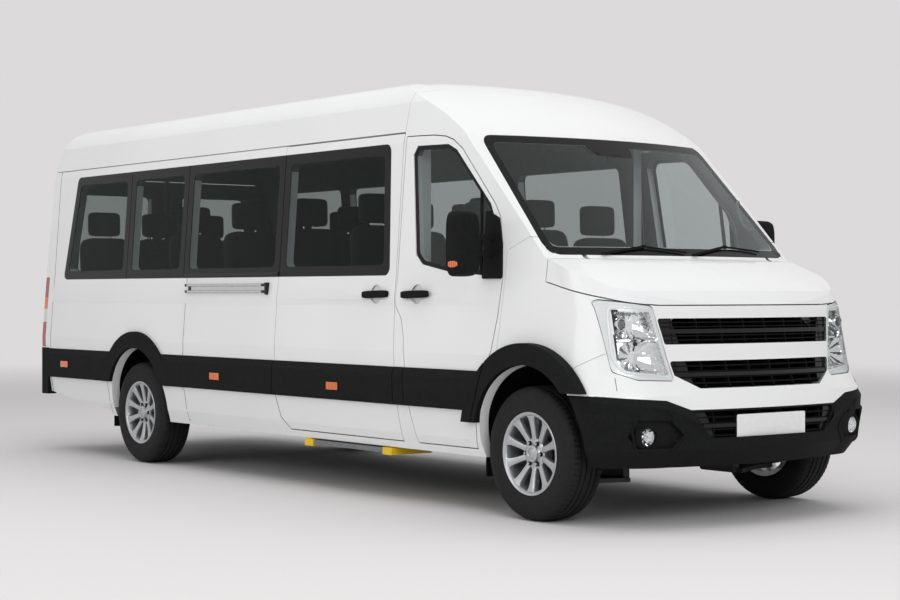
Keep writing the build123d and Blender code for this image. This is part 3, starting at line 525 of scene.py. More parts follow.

# %% [markdown]
# ## Pieces that ride on a body
# A door's handle has to swing with the door. Each new piece is therefore tied to
# the body it is fixed to, and hides the solid part it stands for. Its edges
# stay sharp only where they turn by a real angle, and a small bevel on them
# catches the light, as on anything that is moulded or pressed.

# %% Pieces and their edges
def new_piece(name, body, mesh, *finishes, replaces=(), smooth=35, rounding=0.0, slot=None):
    """An object from a mesh, shaded smooth with true edges kept, riding on a body."""
    bmesh.ops.recalc_face_normals(mesh, faces=mesh.faces[:])
    for face in mesh.faces:
        face.smooth = True
    for line in mesh.edges:
        line.smooth = len(line.link_faces) == 2 and line.calc_face_angle(0) < radians(smooth)
    data = bpy.data.meshes.new(name)
    mesh.to_mesh(data)
    mesh.free()
    for finish in finishes:
        data.materials.append(finish)
    piece = bpy.data.objects.new(name, data)
    bpy.context.scene.collection.objects.link(piece)
    if rounding:
        round_edges(piece, rounding, smooth)
    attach(piece, body)
    if replaces:
        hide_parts(*replaces)
    return piece


def round_edges(piece, width, angle):
    """Round every edge that turns by more than an angle."""
    modifier = piece.modifiers.new("rounded_edges", "BEVEL")
    modifier.width = width
    modifier.segments = 2
    modifier.limit_method = "ANGLE"
    modifier.angle_limit = radians(angle)
    modifier.harden_normals = True


print("helpers: new_piece, round_edges")

# %% [markdown]
# ## Asking the body where its outside is
# A seam or a lamp cover has to follow a curve that turns two ways. Copying that
# curve by hand would drift from it. A ray sent at the solid part from outside
# meets it exactly where the sheet has to lie. Just past an edge the ray misses,
# so a few places around are tried.

# %% Rays onto solid parts
FAR_OUT = 5.0                        # rays start this far from the middle of the vehicle


def surface_of(*names):
    """The outside of solid parts, ready to be asked where a ray meets it."""
    points, faces = [], []
    for name in names:
        data = frame["nodes"][name].data
        start = len(points)
        points += [corner.co.copy() for corner in data.vertices]
        faces += [[start + i for i in polygon.vertices] for polygon in data.polygons]
    return BVHTree.FromPolygons(points, faces)


AROUND = [(0, 0), (1, 0), (-1, 0), (0, 1), (0, -1), (1, 1), (1, -1), (-1, 1), (-1, -1)]


def seen_from(surface, axis, sign, values):
    """The place on a surface seen from far out along an axis, at two other coordinates.

    Just beside the surface's edge the nearest place on it lends its depth."""
    others = [i for i in range(3) if i != axis]
    ray = Vector((0, 0, 0))
    ray[axis] = -sign
    for reach in (0.0, 0.001, 0.004, 0.015, 0.05):
        for shift in AROUND if reach else AROUND[:1]:
            start = Vector((0, 0, 0))
            start[axis] = FAR_OUT * sign
            for i, value, step in zip(others, values, shift):
                start[i] = value + reach * step
            hit = surface.ray_cast(start, ray)[0]
            if hit:
                for i, value in zip(others, values):
                    hit[i] = value
                return hit
    return surface.find_nearest(start + 2 * ray)[0]


def mirrored(outline, sign):
    """An outline of the vehicle's right side, as y and height, on the side that sign gives."""
    return [(-sign * y, z) for y, z in outline]


print("helpers: surface_of, seen_from, mirrored")

# %% [markdown]
# ## Panels with real edges
# A pressed panel has no knife edges: it turns over a small radius at each seam,
# and that radius is what catches the light. The solid parts have sharp edges. Each
# panel is copied from its solid part, shaded smooth, and its true edges are
# rounded by a few millimetres, so that it still fits its neighbours. Faces that
# look into the cabin get the lining instead of paint, and the crease that runs
# along the flanks is pressed out by a few millimetres.

# %% Panel helper
SKIN_Y = 0.985                       # the outer skin of the flanks lies further out than this
FLANK_CREASE = {1.290: 0.0, 1.163: 0.005, 1.128: 0.0}     # height, how far the skin stands proud
CABIN_CORE = (Vector((-2.6, 0, 1.1)), Vector((1.5, 0, 1.1)))   # a line along the middle of the cabin


def looks_inward(face):
    """1 for a face that looks towards the middle of the vehicle, otherwise 0."""
    centre = face.calc_center_median()
    start, end = CABIN_CORE
    along = min(max(centre.x, start.x), end.x)
    return int(face.normal.dot(centre - Vector((along, 0, start.z))) < -0.05)


def copy_node(name, *finishes, choose=None, edge=0.003, crease=35, cuts=(), pressed=None):
    """A piece made from a solid part: welded, cut where its finish changes, with rounded edges.

    choose gives each face the number of its finish. Edges that turn by more than crease stay sharp.
    pressed gives heights at which the outer skin stands proud, as a crease pressed into a flank."""
    source = frame["nodes"][name]
    piece = bpy.data.objects.new(name + "_dressed", source.data.copy())
    bpy.context.scene.collection.objects.link(piece)
    mesh = bmesh.new()
    mesh.from_mesh(piece.data)
    piece.data.materials.clear()
    for finish in finishes:
        piece.data.materials.append(finish)
    bmesh.ops.remove_doubles(mesh, verts=mesh.verts, dist=1e-5)
    bmesh.ops.dissolve_limit(mesh, angle_limit=radians(0.3), verts=mesh.verts, edges=mesh.edges)
    for axis, at in list(cuts) + [(2, height) for height in pressed or ()]:
        normal = Vector((0, 0, 0))
        normal[axis] = 1
        everything = mesh.verts[:] + mesh.edges[:] + mesh.faces[:]
        bmesh.ops.bisect_plane(mesh, geom=everything, plane_co=normal * at, plane_no=normal)
    for height, proud in (pressed or {}).items():
        for corner in mesh.verts:
            if abs(corner.co.z - height) < 1e-4 and abs(corner.co.y) > SKIN_Y:
                corner.co.y += copysign(proud, corner.co.y)
    for face in mesh.faces:
        face.smooth = True
        face.material_index = choose(face) if choose else 0
    for line in mesh.edges:
        line.smooth = len(line.link_faces) == 2 and line.calc_face_angle(0) < radians(crease)
    mesh.to_mesh(piece.data)
    mesh.free()
    if edge:
        round_edges(piece, edge, 30)
    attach(piece, source["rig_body"])
    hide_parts(name)
    return piece


SIDES = ["side_right", "side_left", "sliding_door", "front_door_right", "front_door_left"]
PANELS = [
    "roof_panel", "rear_frame", "cab_frame", "wings_and_cowl", "front_panel", "bonnet", "rear_door_right",
    "rear_door_left"]
for name in SIDES + PANELS:
    flank = name in SIDES
    copy_node(name, white_paint, lining, choose=looks_inward, crease=3 if flank else 12,
              pressed=FLANK_CREASE if flank else None)
for name in ("bumper_front", "bumper_rear"):
    copy_node(name, grained_plastic, crease=14, edge=0.004)
print("copied panels:", len(SIDES) + len(PANELS) + 2)

# %% [markdown]
# ## Glass with its black border
# Bonded panes have a band of black ceramic round their edge that hides the glue.
# It could be a mask in the glass's finish. As a closed frame of its own, laid on
# the body round the clear pane, its edge stays crisp from close by.

# %% Pane helpers
def shrunk(outline, amount):
    """An outline with every edge moved inwards by an amount."""
    following = outline[1:] + outline[:1]
    turn = copysign(1, sum(a[0] * b[1] - b[0] * a[1] for a, b in zip(outline, following)))
    lines = []
    for a, b in zip(outline, following):
        along = (Vector(b) - Vector(a)).normalized()
        lines.append((Vector(a) + Vector((-along.y, along.x)) * turn * amount, along))
    points = []
    for (p, d), (q, e) in zip([lines[-1]] + lines[:-1], lines):
        points.append(tuple(p + d * ((q - p).cross(e) / d.cross(e))))
    return points


def glaze(label, node, outline, radii, axes, place, back, glass, border, slot, inner_radius=0.045):
    """A pane laid on its solid part: a closed frame of black ceramic round clear glass."""
    step = 0.06
    outer = rounded(outline, radii)
    inner = rounded(shrunk(outline, border), inner_radius)
    pairs = []
    for i, start in enumerate(outer):
        end = outer[(i + 1) % len(outer)]
        pieces = max(1, round((Vector(end) - Vector(start)).length / step))
        for k in range(pieces):
            pairs.append([place(*Vector(ring[i]).lerp(Vector(ring[(i + 1) % len(outer)]), k / pieces))
                          for ring in (outer, inner)])
    mesh = bmesh.new()
    behind = Vector(back)
    loft(mesh, [[edge, border_end, border_end + behind, edge + behind] for edge, border_end in pairs],
         close_rows=True, material=1)
    laid_sheet(mesh, inner, axes, place, step=step, back=back)
    new_piece(label, frame["nodes"][node]["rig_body"], mesh, glass, ceramic_frit, replaces=[node], slot=slot)


def against(surface, axis, sign, proud=0.0):
    """A placing rule for sheets laid on a surface, seen along an axis."""
    normal = Vector((0, 0, 0))
    normal[axis] = sign * proud
    return lambda u, v: seen_from(surface, axis, sign, (u, v)) + normal


print("helpers: shrunk, glaze, against")

# %% [markdown]
# ## The panes
# The four side windows look like one dark band: each pane runs up to the next
# with a gap of a few millimetres, and only the outer corners are round. The
# front doors have clear glass that follows the sloping roof, and the screen is
# clear too. Each pane is drawn from its corners as seen from its own side.

# %% Panes
BELT, GLASS_TOP = 1.304, 2.072
PANE_EDGES = [-2.985, -1.975, -1.145, 0.075, 1.272]
GAP = 0.003                          # half the gap between two panes
END_RADIUS, GAP_RADIUS = 0.05, 0.004 # corners at the ends of the band, and at the gaps
FRONT_SLANT, REAR_SLANT = 0.060, 0.145
DOOR_WINDOW = [  # x and height, from the top of its rear edge round to the foot of it
    (1.430, 1.990), (1.465, 2.045), (1.735, 2.040), (1.810, 2.005), (2.125, 1.690), (2.195, 1.550),
    (2.195, 1.290), (1.780, 1.325), (1.565, 1.365), (1.505, 1.420)]
REAR_WINDOW = [  # distance from the middle, height
    (0.095, 1.330), (0.095, 2.010), (0.770, 2.010), (0.815, 1.330)]
side_surface = surface_of("side_glass")
for side, sign in BOTH:
    for i, (rear, front) in enumerate(zip(PANE_EDGES, PANE_EDGES[1:])):
        first, last = i == 0, i == len(PANE_EDGES) - 2
        rear += 0 if first else GAP
        front -= 0 if last else GAP
        outline = [(rear, BELT), (front, BELT), (front - FRONT_SLANT * last, GLASS_TOP),
                   (rear + REAR_SLANT * first, GLASS_TOP)]
        back_radius, front_radius = [END_RADIUS if end else GAP_RADIUS for end in (first, last)]
        glaze(f"side_pane_{side}_{i + 1}", "side_glass", outline,
              [back_radius, front_radius, front_radius, back_radius], (0, 2), against(side_surface, 1, sign),
              (0, -0.0055 * sign, 0), privacy_glass, 0.062, "dark_glass")
    glaze("door_pane_" + side, "door_glass_" + side, DOOR_WINDOW, 0.02, (0, 2),
          against(surface_of("door_glass_" + side), 1, sign), (0, -0.005 * sign, 0), clear_glass, 0.024,
          "clear_glass", inner_radius=0.02)
    glaze("rear_pane_" + side, "rear_glass_" + side, mirrored(REAR_WINDOW, -sign), 0.04, (1, 2),
          against(surface_of("rear_glass_" + side), 0, -1), (0.0055, 0, 0), privacy_glass, 0.045,
          "dark_glass")
SCREEN = [(-0.905, 1.405), (-0.845, 2.085), (0.845, 2.085), (0.905, 1.405)]
glaze("windscreen_pane", "windscreen", SCREEN, 0.07, (1, 2), against(surface_of("windscreen"), 0, 1),
      (-0.0055, 0, 0), clear_glass, 0.042, "clear_glass")
print("panes glazed:", 2 * len(PANE_EDGES) + 3)

# %% [markdown]
# ## Tyres
# A van's tyre has four grooves round its tread, which carry water away, and
# short slots across its shoulders for grip. The slots could be cut out of a
# plain ring one by one. Here each slot is simply a row of the ring that lies
# deeper, which leaves one clean closed skin.

# %% Tyres
AXLE_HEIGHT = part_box("tyre_front_right")[1][2] / 2
TREAD_SLOTS, ROWS_PER_SLOT = 72, 4
TYRE_PROFILE = [  # radius, distance from the vehicle's middle, depth of the slots across it, all in mm
    (204.3, 788, 0), (222, 785, 0), (236, 774, 0), (262, 771, 0), (292, 770.5, 0), (318, 774, 0),
    (338, 783, 0), (349, 795, 4), (354, 810, 6), (355.2, 829, 6), (347, 831, 0), (347, 838, 0),
    (355.6, 840, 1.5), (356, 862, 1.5), (347.5, 864, 0), (347.5, 871, 0), (356, 873, 1.5),
    (356, 902, 1.5), (347.5, 904, 0), (347.5, 911, 0), (356, 913, 1.5), (355.6, 935, 1.5),
    (347, 937, 0), (347, 944, 0), (355.2, 946, 6), (354, 965, 6), (349, 980, 4), (338, 992, 0),
    (326, 998, 0), (323, 998.5, 0), (318, 1001.5, 0), (292, 1004.5, 0), (262, 1004, 0),
    (236, 1001, 0), (226, 999, 0), (222, 992, 0), (204.3, 988, 0)]


def make_tyre(name, x, side):
    """A tyre round its hub line, outer face to the given side."""
    mesh = bmesh.new()
    rows = []
    count = ROWS_PER_SLOT * TREAD_SLOTS
    for k in range(count):
        angle = 2 * pi * k / count
        row = []
        for radius, across, slot in TYRE_PROFILE:
            radius = (radius - (slot if k % ROWS_PER_SLOT == 0 else 0)) / 1000
            row.append((x + radius * cos(angle), side * across / 1000, AXLE_HEIGHT + radius * sin(angle)))
        rows.append(row)
    loft(mesh, rows, close_rows=True)
    new_piece(name + "_treaded", frame["nodes"][name]["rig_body"], mesh, tyre_rubber,
              replaces=[name], smooth=28)


wheel_places = []
for end in ("front", "rear"):
    for side, sign in BOTH:
        low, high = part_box(f"tyre_{end}_{side}")
        wheel_places.append((f"{end}_{side}", (low[0] + high[0]) / 2, sign))
print("axle height:", round(AXLE_HEIGHT, 3), "tread slots:", TREAD_SLOTS)

# %% [markdown]
# ## Cast wheels
# The wheel is cast in one piece: a lip, ten spokes that widen and rise towards
# it, and a nave with six bolts round a plain cap. The brake disc shows between
# the spokes. Each spoke is a loft through a few sections, so that its width and
# its front can change along it, and lip, nave and disc are turned.

# %% Cast wheels
SPOKES = 10
BOLTS, BOLT_CIRCLE = 6, 0.061        # count, and their distance from the axle
# The next profiles are in mm: radius and distance from the vehicle's middle.
LIP = [(196, 776), (221, 776), (221, 782), (205, 790), (204, 986), (214, 990), (220.5, 994), (221, 998),
       (218, 1000), (208, 998), (202, 992), (199, 984), (196, 960), (193, 900), (192, 800)]
NAVE = [(0.5, 981), (27, 981), (29, 979.5), (31, 983), (41, 983.5), (44, 982), (46, 972), (50, 966),
        (74, 965), (82, 960), (84, 935), (84, 907), (37, 907), (37, 942), (0.5, 942)]
DISC = [(60, 850), (150, 850), (150, 872), (88, 872), (84, 908), (60, 908)]
SPOKE_ROWS = [  # radius, half width, front face
    (72, 21, 964), (92, 18, 968), (120, 18.5, 973), (150, 20, 979), (178, 23, 985), (192, 29, 989),
    (201, 38, 991)]


def make_wheel(name, x, side):
    """The cast wheel of one tyre, with its brake disc."""
    mesh = bmesh.new()
    centre = (x, 0, AXLE_HEIGHT)
    for profile, steps, material in ((LIP, 96, 0), (NAVE, 48, 0), (DISC, 64, 1)):
        metres = [(radius / 1000, side * along / 1000) for radius, along in profile]
        turned(mesh, metres, centre, 1, steps, material)
    for k in range(SPOKES):
        angle = 2 * pi * (k + 0.5) / SPOKES
        out, along = Vector((cos(angle), 0, sin(angle))), Vector((-sin(angle), 0, cos(angle)))
        rows = []
        for radius, half, front in SPOKE_ROWS:
            section = [(-half, front - 9), (4 - half, front - 1), (-0.45 * half, front + 1),
                       (0.45 * half, front + 1), (half - 4, front - 1), (half, front - 9),
                       (half - 5, front - 36), (5 - half, front - 36)]
            rows.append([
                Vector(centre) + (radius * out + across * along) / 1000 + Vector((0, side * depth / 1000, 0))
                for across, depth in section])
        loft(mesh, rows, caps=True)
    for k in range(BOLTS):
        angle = 2 * pi * k / BOLTS
        at = Vector((x + BOLT_CIRCLE * cos(angle), side * 0.969, AXLE_HEIGHT + BOLT_CIRCLE * sin(angle)))
        upright = Matrix.Translation(at) @ Matrix.Rotation(-side * pi / 2, 4, "X")
        cup = bmesh.ops.create_cone(
            mesh, cap_ends=True, segments=20, radius1=0.0125, radius2=0.0115, depth=0.008, matrix=upright)
        nut = bmesh.ops.create_cone(
            mesh, cap_ends=True, segments=6, radius1=0.0085, radius2=0.0075, depth=0.022, matrix=upright)
        for made, material in ((cup, 2), (nut, 0)):
            for face in {face for vert in made["verts"] for face in vert.link_faces}:
                face.material_index = material
    new_piece(name + "_cast", frame["nodes"][name]["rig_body"], mesh, wheel_silver, cast_iron, dull_black,
              replaces=[name], smooth=38)


for place, x, sign in wheel_places:
    make_tyre("tyre_" + place, x, sign)
    make_wheel("rim_" + place, x, sign)
print("wheels:", len(wheel_places), "spokes:", SPOKES, "bolts:", BOLTS)

# %% [markdown]
# ## Headlamps
# Each lamp is a clear cover over a silvered housing. A light guide runs along the
# top, the outer side and the bottom, on a pale bezel. Inside are two fluted bowls,
# a shelf between them, and a projector lens in the upper one. The bowls could be
# turned and cut to the outline. Here the housing is one sheet that follows the
# nose at a depth which a small function gives for each place, because then
# nothing has to be cut and its faces mirror the studio in broken pieces.

# %% Lamp surfaces
nose = surface_of("headlamps", "front_panel", "wings_and_cowl", "bumper_front")
LAMP = [(-0.666, 1.133), (-0.587, 0.754), (-0.800, 0.762), (-0.898, 0.802), (-0.916, 1.168)]
BOWLS = [(-0.752, 1.035, 0.105, 0.050), (-0.742, 0.872, 0.105, 0.055)]   # y, height, radius, depth
PROJECTOR = (-0.825, 1.042)          # y and height of its lens
CAVITY = [(-0.684, 1.104), (-0.604, 0.782), (-0.835, 0.796), (-0.856, 0.815), (-0.866, 0.885),
          (-0.858, 1.112)]
GUIDE = [(-0.690, 1.118), (-0.8685, 1.132), (-0.878, 1.074), (-0.884, 0.881), (-0.868, 0.824),
         (-0.836, 0.795), (-0.612, 0.770)]
SHELF, SHELF_HALF = 0.960, 0.013     # height of the shelf between the bowls, and half its thickness
BEZEL_DEPTH, WELL = 0.006, 0.034     # depth of the bezel behind the cover, and of the cavity behind the bezel
FLUTES, FLUTE_DEPTH = 7, 0.0035      # waves in half a turn of a bowl
GUIDE_DEPTH, GUIDE_RADIUS = 0.0135, 0.0105


def inside_by(outline, y, z):
    """How far inside a clockwise convex outline a place is. It is below zero outside it."""
    reach = []
    for start, end in zip(outline, outline[1:] + outline[:1]):
        way = Vector(end) - Vector(start)
        reach.append(Vector((way.y, -way.x)).normalized().dot(Vector((y, z)) - Vector(start)))
    return min(reach)


def smoothstep(low, high, value):
    """Zero up to low, one from high on, and a soft step between them."""
    share = min(max((value - low) / (high - low), 0), 1)
    return share * share * (3 - 2 * share)


def housing_depth(y, z):
    """How deep the silvered housing lies behind the cover at a place."""
    y = -abs(y)
    depth = WELL
    for bowl_y, bowl_z, radius, deep in BOWLS:
        reach = hypot(y - bowl_y, z - bowl_z) / radius
        if reach < 1:
            turn = atan2(z - bowl_z, y - bowl_y)
            flutes = FLUTE_DEPTH * abs(sin(FLUTES * turn)) * smoothstep(0.25, 0.6, reach)
            depth += deep * (1 - reach * reach) - flutes
    depth += (BEZEL_DEPTH - depth) * smoothstep(0.0, 0.6, 1 - abs(z - SHELF) / SHELF_HALF)
    return BEZEL_DEPTH + depth * smoothstep(0.0, 0.02, inside_by(CAVITY, y, z))


def on_nose(depth):
    """A placing rule for sheets laid on the nose. The depth is a number or a function of the place."""
    def place(y, z):
        point = seen_from(nose, 0, 1, (y, z))
        return Vector((point.x - (depth(y, z) if callable(depth) else depth), y, z))
    return place


def guide_path(sign):
    """The light guide's line on one side, with its corners rounded."""
    points = []
    for start, end in zip(GUIDE, GUIDE[1:]):
        points += [Vector(start).lerp(Vector(end), k / 8) for k in range(8)]
    points.append(Vector(GUIDE[-1]))
    for _ in range(3):
        middle = [(a + 2 * b + c) / 4 for a, b, c in zip(points, points[1:], points[2:])]
        points = points[:1] + middle + points[-1:]
    return [on_nose(GUIDE_DEPTH)(-sign * y, z) for y, z in points]


print("lamp cavity:", len(CAVITY), "corners, bowls:", len(BOWLS))

# %% [markdown]
# ## Which part of the housing has which finish
# The bezel is satin, the cavity is silvered, and a thin dark strip parts them on
# the outer side. Some facets of a real bowl mirror the dark ground, which makes
# the others sparkle. A plain studio has no dark ground, so those facets get a
# darker chrome instead: a painted reflection of that ground. One function gives
# each face its finish by its place.

# %% Headlamp finishes
SILVERED, BEZEL, STRIP, PAINTED_REFLECTION = range(4)
STRIP_HALF = 0.006                   # half the width of the strip between cavity and bezel
RIM = 0.008                          # the facets keep this far away from the cavity's edge
# Facets that get the darker chrome, a painted reflection of the dark ground, lie in these two bands.
PROJECTOR_FACETS = (0.034, 0.060)    # facets lie between these distances from the projector lens
BOWL_FACETS = (0.3, 1.0)             # and between these shares of a bowl's radius


def lamp_finish(y, z):
    """The finish of the housing at a place."""
    y = -abs(y)
    inside = inside_by(CAVITY, y, z)
    if abs(inside) < STRIP_HALF and y < -0.84 and z > 0.86:
        return STRIP
    if inside < 0:
        return BEZEL
    if inside <= RIM:
        return SILVERED
    # Alternate facets round the projector and in the bowls get the darker chrome: painted reflection.
    away, up = PROJECTOR[0] - y, z - PROJECTOR[1]
    near, far = PROJECTOR_FACETS
    if near < hypot(away, up) < far and int(atan2(up, away) * 8) % 2:
        return PAINTED_REFLECTION
    near, far = BOWL_FACETS
    for bowl_y, bowl_z, radius, _ in BOWLS:
        reach = hypot(bowl_y - y, z - bowl_z) / radius
        turn = atan2(z - bowl_z, bowl_y - y)
        if near < reach < far and int(turn * 16 / pi + 40) % 3 == 0 and cos(turn) > -0.3:
            return PAINTED_REFLECTION
    return SILVERED


print("finish in the upper bowl:", lamp_finish(BOWLS[0][0], BOWLS[0][1]))

# %% Headlamp pieces
# Profiles round the lamp's axis: radius and distance ahead of the cover.
PROJECTOR_RING = [(0.027, -0.060), (0.027, -0.018), (0.030, -0.014), (0.034, -0.018), (0.036, -0.060)]
PROJECTOR_LENS = [(0.0005, -0.010), (0.012, -0.012), (0.020, -0.018), (0.0265, -0.028), (0.0265, -0.05),
                  (0.0005, -0.05)]


def turned_ahead_of(x, mesh, profile, y, z, steps, material=0):
    """A ring about a line along the vehicle. The profile's distances count from x."""
    turned(mesh, [(radius, x + ahead) for radius, ahead in profile], (0, y, z), 0, steps, material)


for side, sign in BOTH:
    outline = mirrored(rounded(LAMP, 0.02), sign)
    mesh = bmesh.new()
    laid_sheet(mesh, outline, (1, 2), on_nose(housing_depth), step=0.0055)
    for face in mesh.faces:
        centre = face.calc_center_median()
        face.material_index = lamp_finish(centre.y, centre.z)
    new_piece(f"lamp_housing_{side}", "body", mesh, vacuum_chrome, lamp_bezel, smooth_black, painted_reflection_chrome,
              replaces=["headlamps"], smooth=25, slot="clear_lens")
    mesh = bmesh.new()
    laid_sheet(mesh, outline, (1, 2), on_nose(0.0), step=0.02, back=(-0.002, 0, 0))
    new_piece(f"lamp_cover_{side}", "body", mesh, lens_clear, slot="clear_lens")
    mesh = bmesh.new()
    tube(mesh, guide_path(sign), GUIDE_RADIUS)
    new_piece(f"light_guide_{side}", "body", mesh, light_guide, slot="clear_lens")
    y, z = -sign * PROJECTOR[0], PROJECTOR[1]
    x = seen_from(nose, 0, 1, (y, z)).x
    mesh = bmesh.new()
    turned_ahead_of(x, mesh, PROJECTOR_RING, y, z, 40)
    turned_ahead_of(x, mesh, PROJECTOR_LENS, y, z, 32, 1)
    new_piece(f"projector_{side}", "body", mesh, vacuum_chrome, ceramic_frit, slot="clear_lens")
print("headlamps: 2")

# %% [markdown]
# ## Grille
# The three openings hold dark slats that let the air through. At both ends a
# plain block fills each opening, and a stouter bar crosses it, broken only where
# the plate stands. The openings leave nothing of the nose to lay a bar on, so
# its curve is worked out again from the sizes it was drawn with: arcs between a
# few rows. Behind the slats a ribbed core keeps the daylight out.

# %% The nose where it is open
NOSE_ROWS = [  # height, ahead of the origin where the nose begins, half width there, tip of the nose
    (0.400, 3.240, 0.650, 3.345), (0.563, 3.255, 0.660, 3.325), (0.680, 3.225, 0.660, 3.290),
    (0.780, 3.165, 0.660, 3.250), (0.866, 3.150, 0.660, 3.230), (1.128, 3.110, 0.665, 3.185)]


def nose_x(y, z):
    """The nose's outside at a place, also where an opening has been cut in it."""
    for low, high in zip(NOSE_ROWS, NOSE_ROWS[1:]):
        if z <= high[0]:
            break
    share = (z - low[0]) / (high[0] - low[0])
    start, half, tip = [a + share * (b - a) for a, b in zip(low[1:], high[1:])]
    rise = tip - start
    radius = (half * half + rise * rise) / (2 * rise)
    return tip - radius + sqrt(radius * radius - y * y)


def behind_nose(depth):
    """A placing rule for sheets laid at a depth behind the nose."""
    return lambda y, z: Vector((nose_x(y, z) - depth, y, z))


print("nose above the middle opening:", round(nose_x(0, 0.9), 3))

# %% Grille
PLATE = (0.258, 0.444, 0.575)        # half width, lower and upper edge of the blank plate
END_BLOCKS = [
    [(-0.643, 1.069), (-0.557, 1.069), (-0.520, 0.941), (-0.615, 0.941)],
    [(-0.598, 0.850), (-0.495, 0.850), (-0.470, 0.724), (-0.580, 0.781)],
    [(-0.532, 0.593), (-0.450, 0.593), (-0.400, 0.463), (-0.427, 0.463)]]
CROSS_BARS = [  # height, half width, half thickness
    (1.005, 0.628, 0.011), (0.783, 0.580, 0.010), (0.522, 0.470, 0.009)]
BLOCKS_BEHIND, BARS_BEHIND = 0.014, 0.006      # how far their fronts lie behind the nose
PLATE_GAP = 0.006
mesh = bmesh.new()
for block in END_BLOCKS:
    for _, sign in BOTH:
        laid_sheet(mesh, mirrored(block, sign), (1, 2), behind_nose(BLOCKS_BEHIND), back=(-0.02, 0, 0))
for z, half, tall in CROSS_BARS:
    spans = [(-half, half)]
    if PLATE[1] < z < PLATE[2]:                # the plate stands in front of this one
        middle = PLATE[0] + PLATE_GAP
        spans = [(-half, -middle), (middle, half)]
    for low, high in spans:
        bar = [(low, z - tall), (high, z - tall), (high, z + tall), (low, z + tall)]
        laid_sheet(mesh, bar, (1, 2), behind_nose(BARS_BEHIND), back=(-0.03, 0, 0))
new_piece("grille_bars", "body", mesh, smooth_black, rounding=0.003)
copy_node("grille", dull_black, edge=0.0008)
print("grille: 1, end blocks:", 2 * len(END_BLOCKS))

# %% Radiator core
core_low, core_high = (3.056, -0.595, 0.42), (3.072, 0.595, 1.05)
RIBS, RIB_PITCH, RIB_WIDTH = 24, 0.026, 0.010
mesh = bmesh.new()
slab(mesh, core_low, core_high)
for k in range(RIBS):
    z = core_low[2] + 0.02 + k * RIB_PITCH
    slab(mesh, (core_high[0], core_low[1] + 0.02, z),
         (core_high[0] + 0.004, core_high[1] - 0.02, z + RIB_WIDTH))
new_piece("radiator_core", "body", mesh, dull_black)
print("radiator ribs:", RIBS)

# %% [markdown]
# ## Ridge of the bumper
# A ridge runs round the black bumper and dips towards the intake. It stiffens the
# thin plastic, and its upper side catches the light as a paler band. Three lines
# on the bumper carry it: two lie on the surface, the crest between them stands
# proud, and a loft joins them.

# %% Ridge of the bumper
RIDGE_PROUD = (0.0003, 0.014, 0.0003)          # how far each of the three lines stands proud
RIDGE = [  # top edge, crest and foot of the ridge from the flank to the intake, each as y and height
    [(-0.995, 0.681), (-0.680, 0.652), (-0.543, 0.600)],
    [(-0.995, 0.647), (-0.655, 0.612), (-0.500, 0.532)],
    [(-0.995, 0.590), (-0.610, 0.548), (-0.458, 0.480)]]
RIDGE_STEPS = 32


def along(line, share):
    """A place on a bent line, rounded a little at its bend."""
    (a, b, c), t = [Vector(point) for point in line], share * 2
    straight = a.lerp(b, t) if t < 1 else b.lerp(c, t - 1)
    blend = max(0.0, 1 - abs(t - 1) / 0.25)
    return straight.lerp(((a + b) / 2).lerp((b + c) / 2, 0.5), 0.12 * blend)


mesh = bmesh.new()
for sign in (-1, 1):
    rows = []
    for k in range(RIDGE_STEPS + 1):
        row = []
        for line, proud in zip(RIDGE, RIDGE_PROUD):
            y, z = along(line, k / RIDGE_STEPS)
            spot = seen_from(nose, 0, 1, (-sign * y, z))
            outwards = Vector((0.75, sign * (0.66 if abs(y) > 0.66 else 0.3), 0)).normalized()
            row.append(spot + outwards * proud)
        rows.append(row)
    loft(mesh, rows, close_columns=False)
new_piece("bumper_ridge", "body", mesh, grained_plastic, smooth=20)
print("bumper ridge: 2 halves")

# %% [markdown]
# ## Fog lamps and plate
# Each fog lamp sits in a five-sided hollow with a raised lip, behind a domed
# cover, and two short bars cross the inner corner. The lamp is round, so its
# reflector and cover are turned about the lamp's own axis. The reflector has few
# steps and hard edges, which gives it facets. The plate is a blank sheet.

# %% Fog lamps
FOG = (0.772, 0.474)                 # distance from the middle and height of the lamp
FOG_BARS = (0.452, 0.492)            # heights of the bars beside it
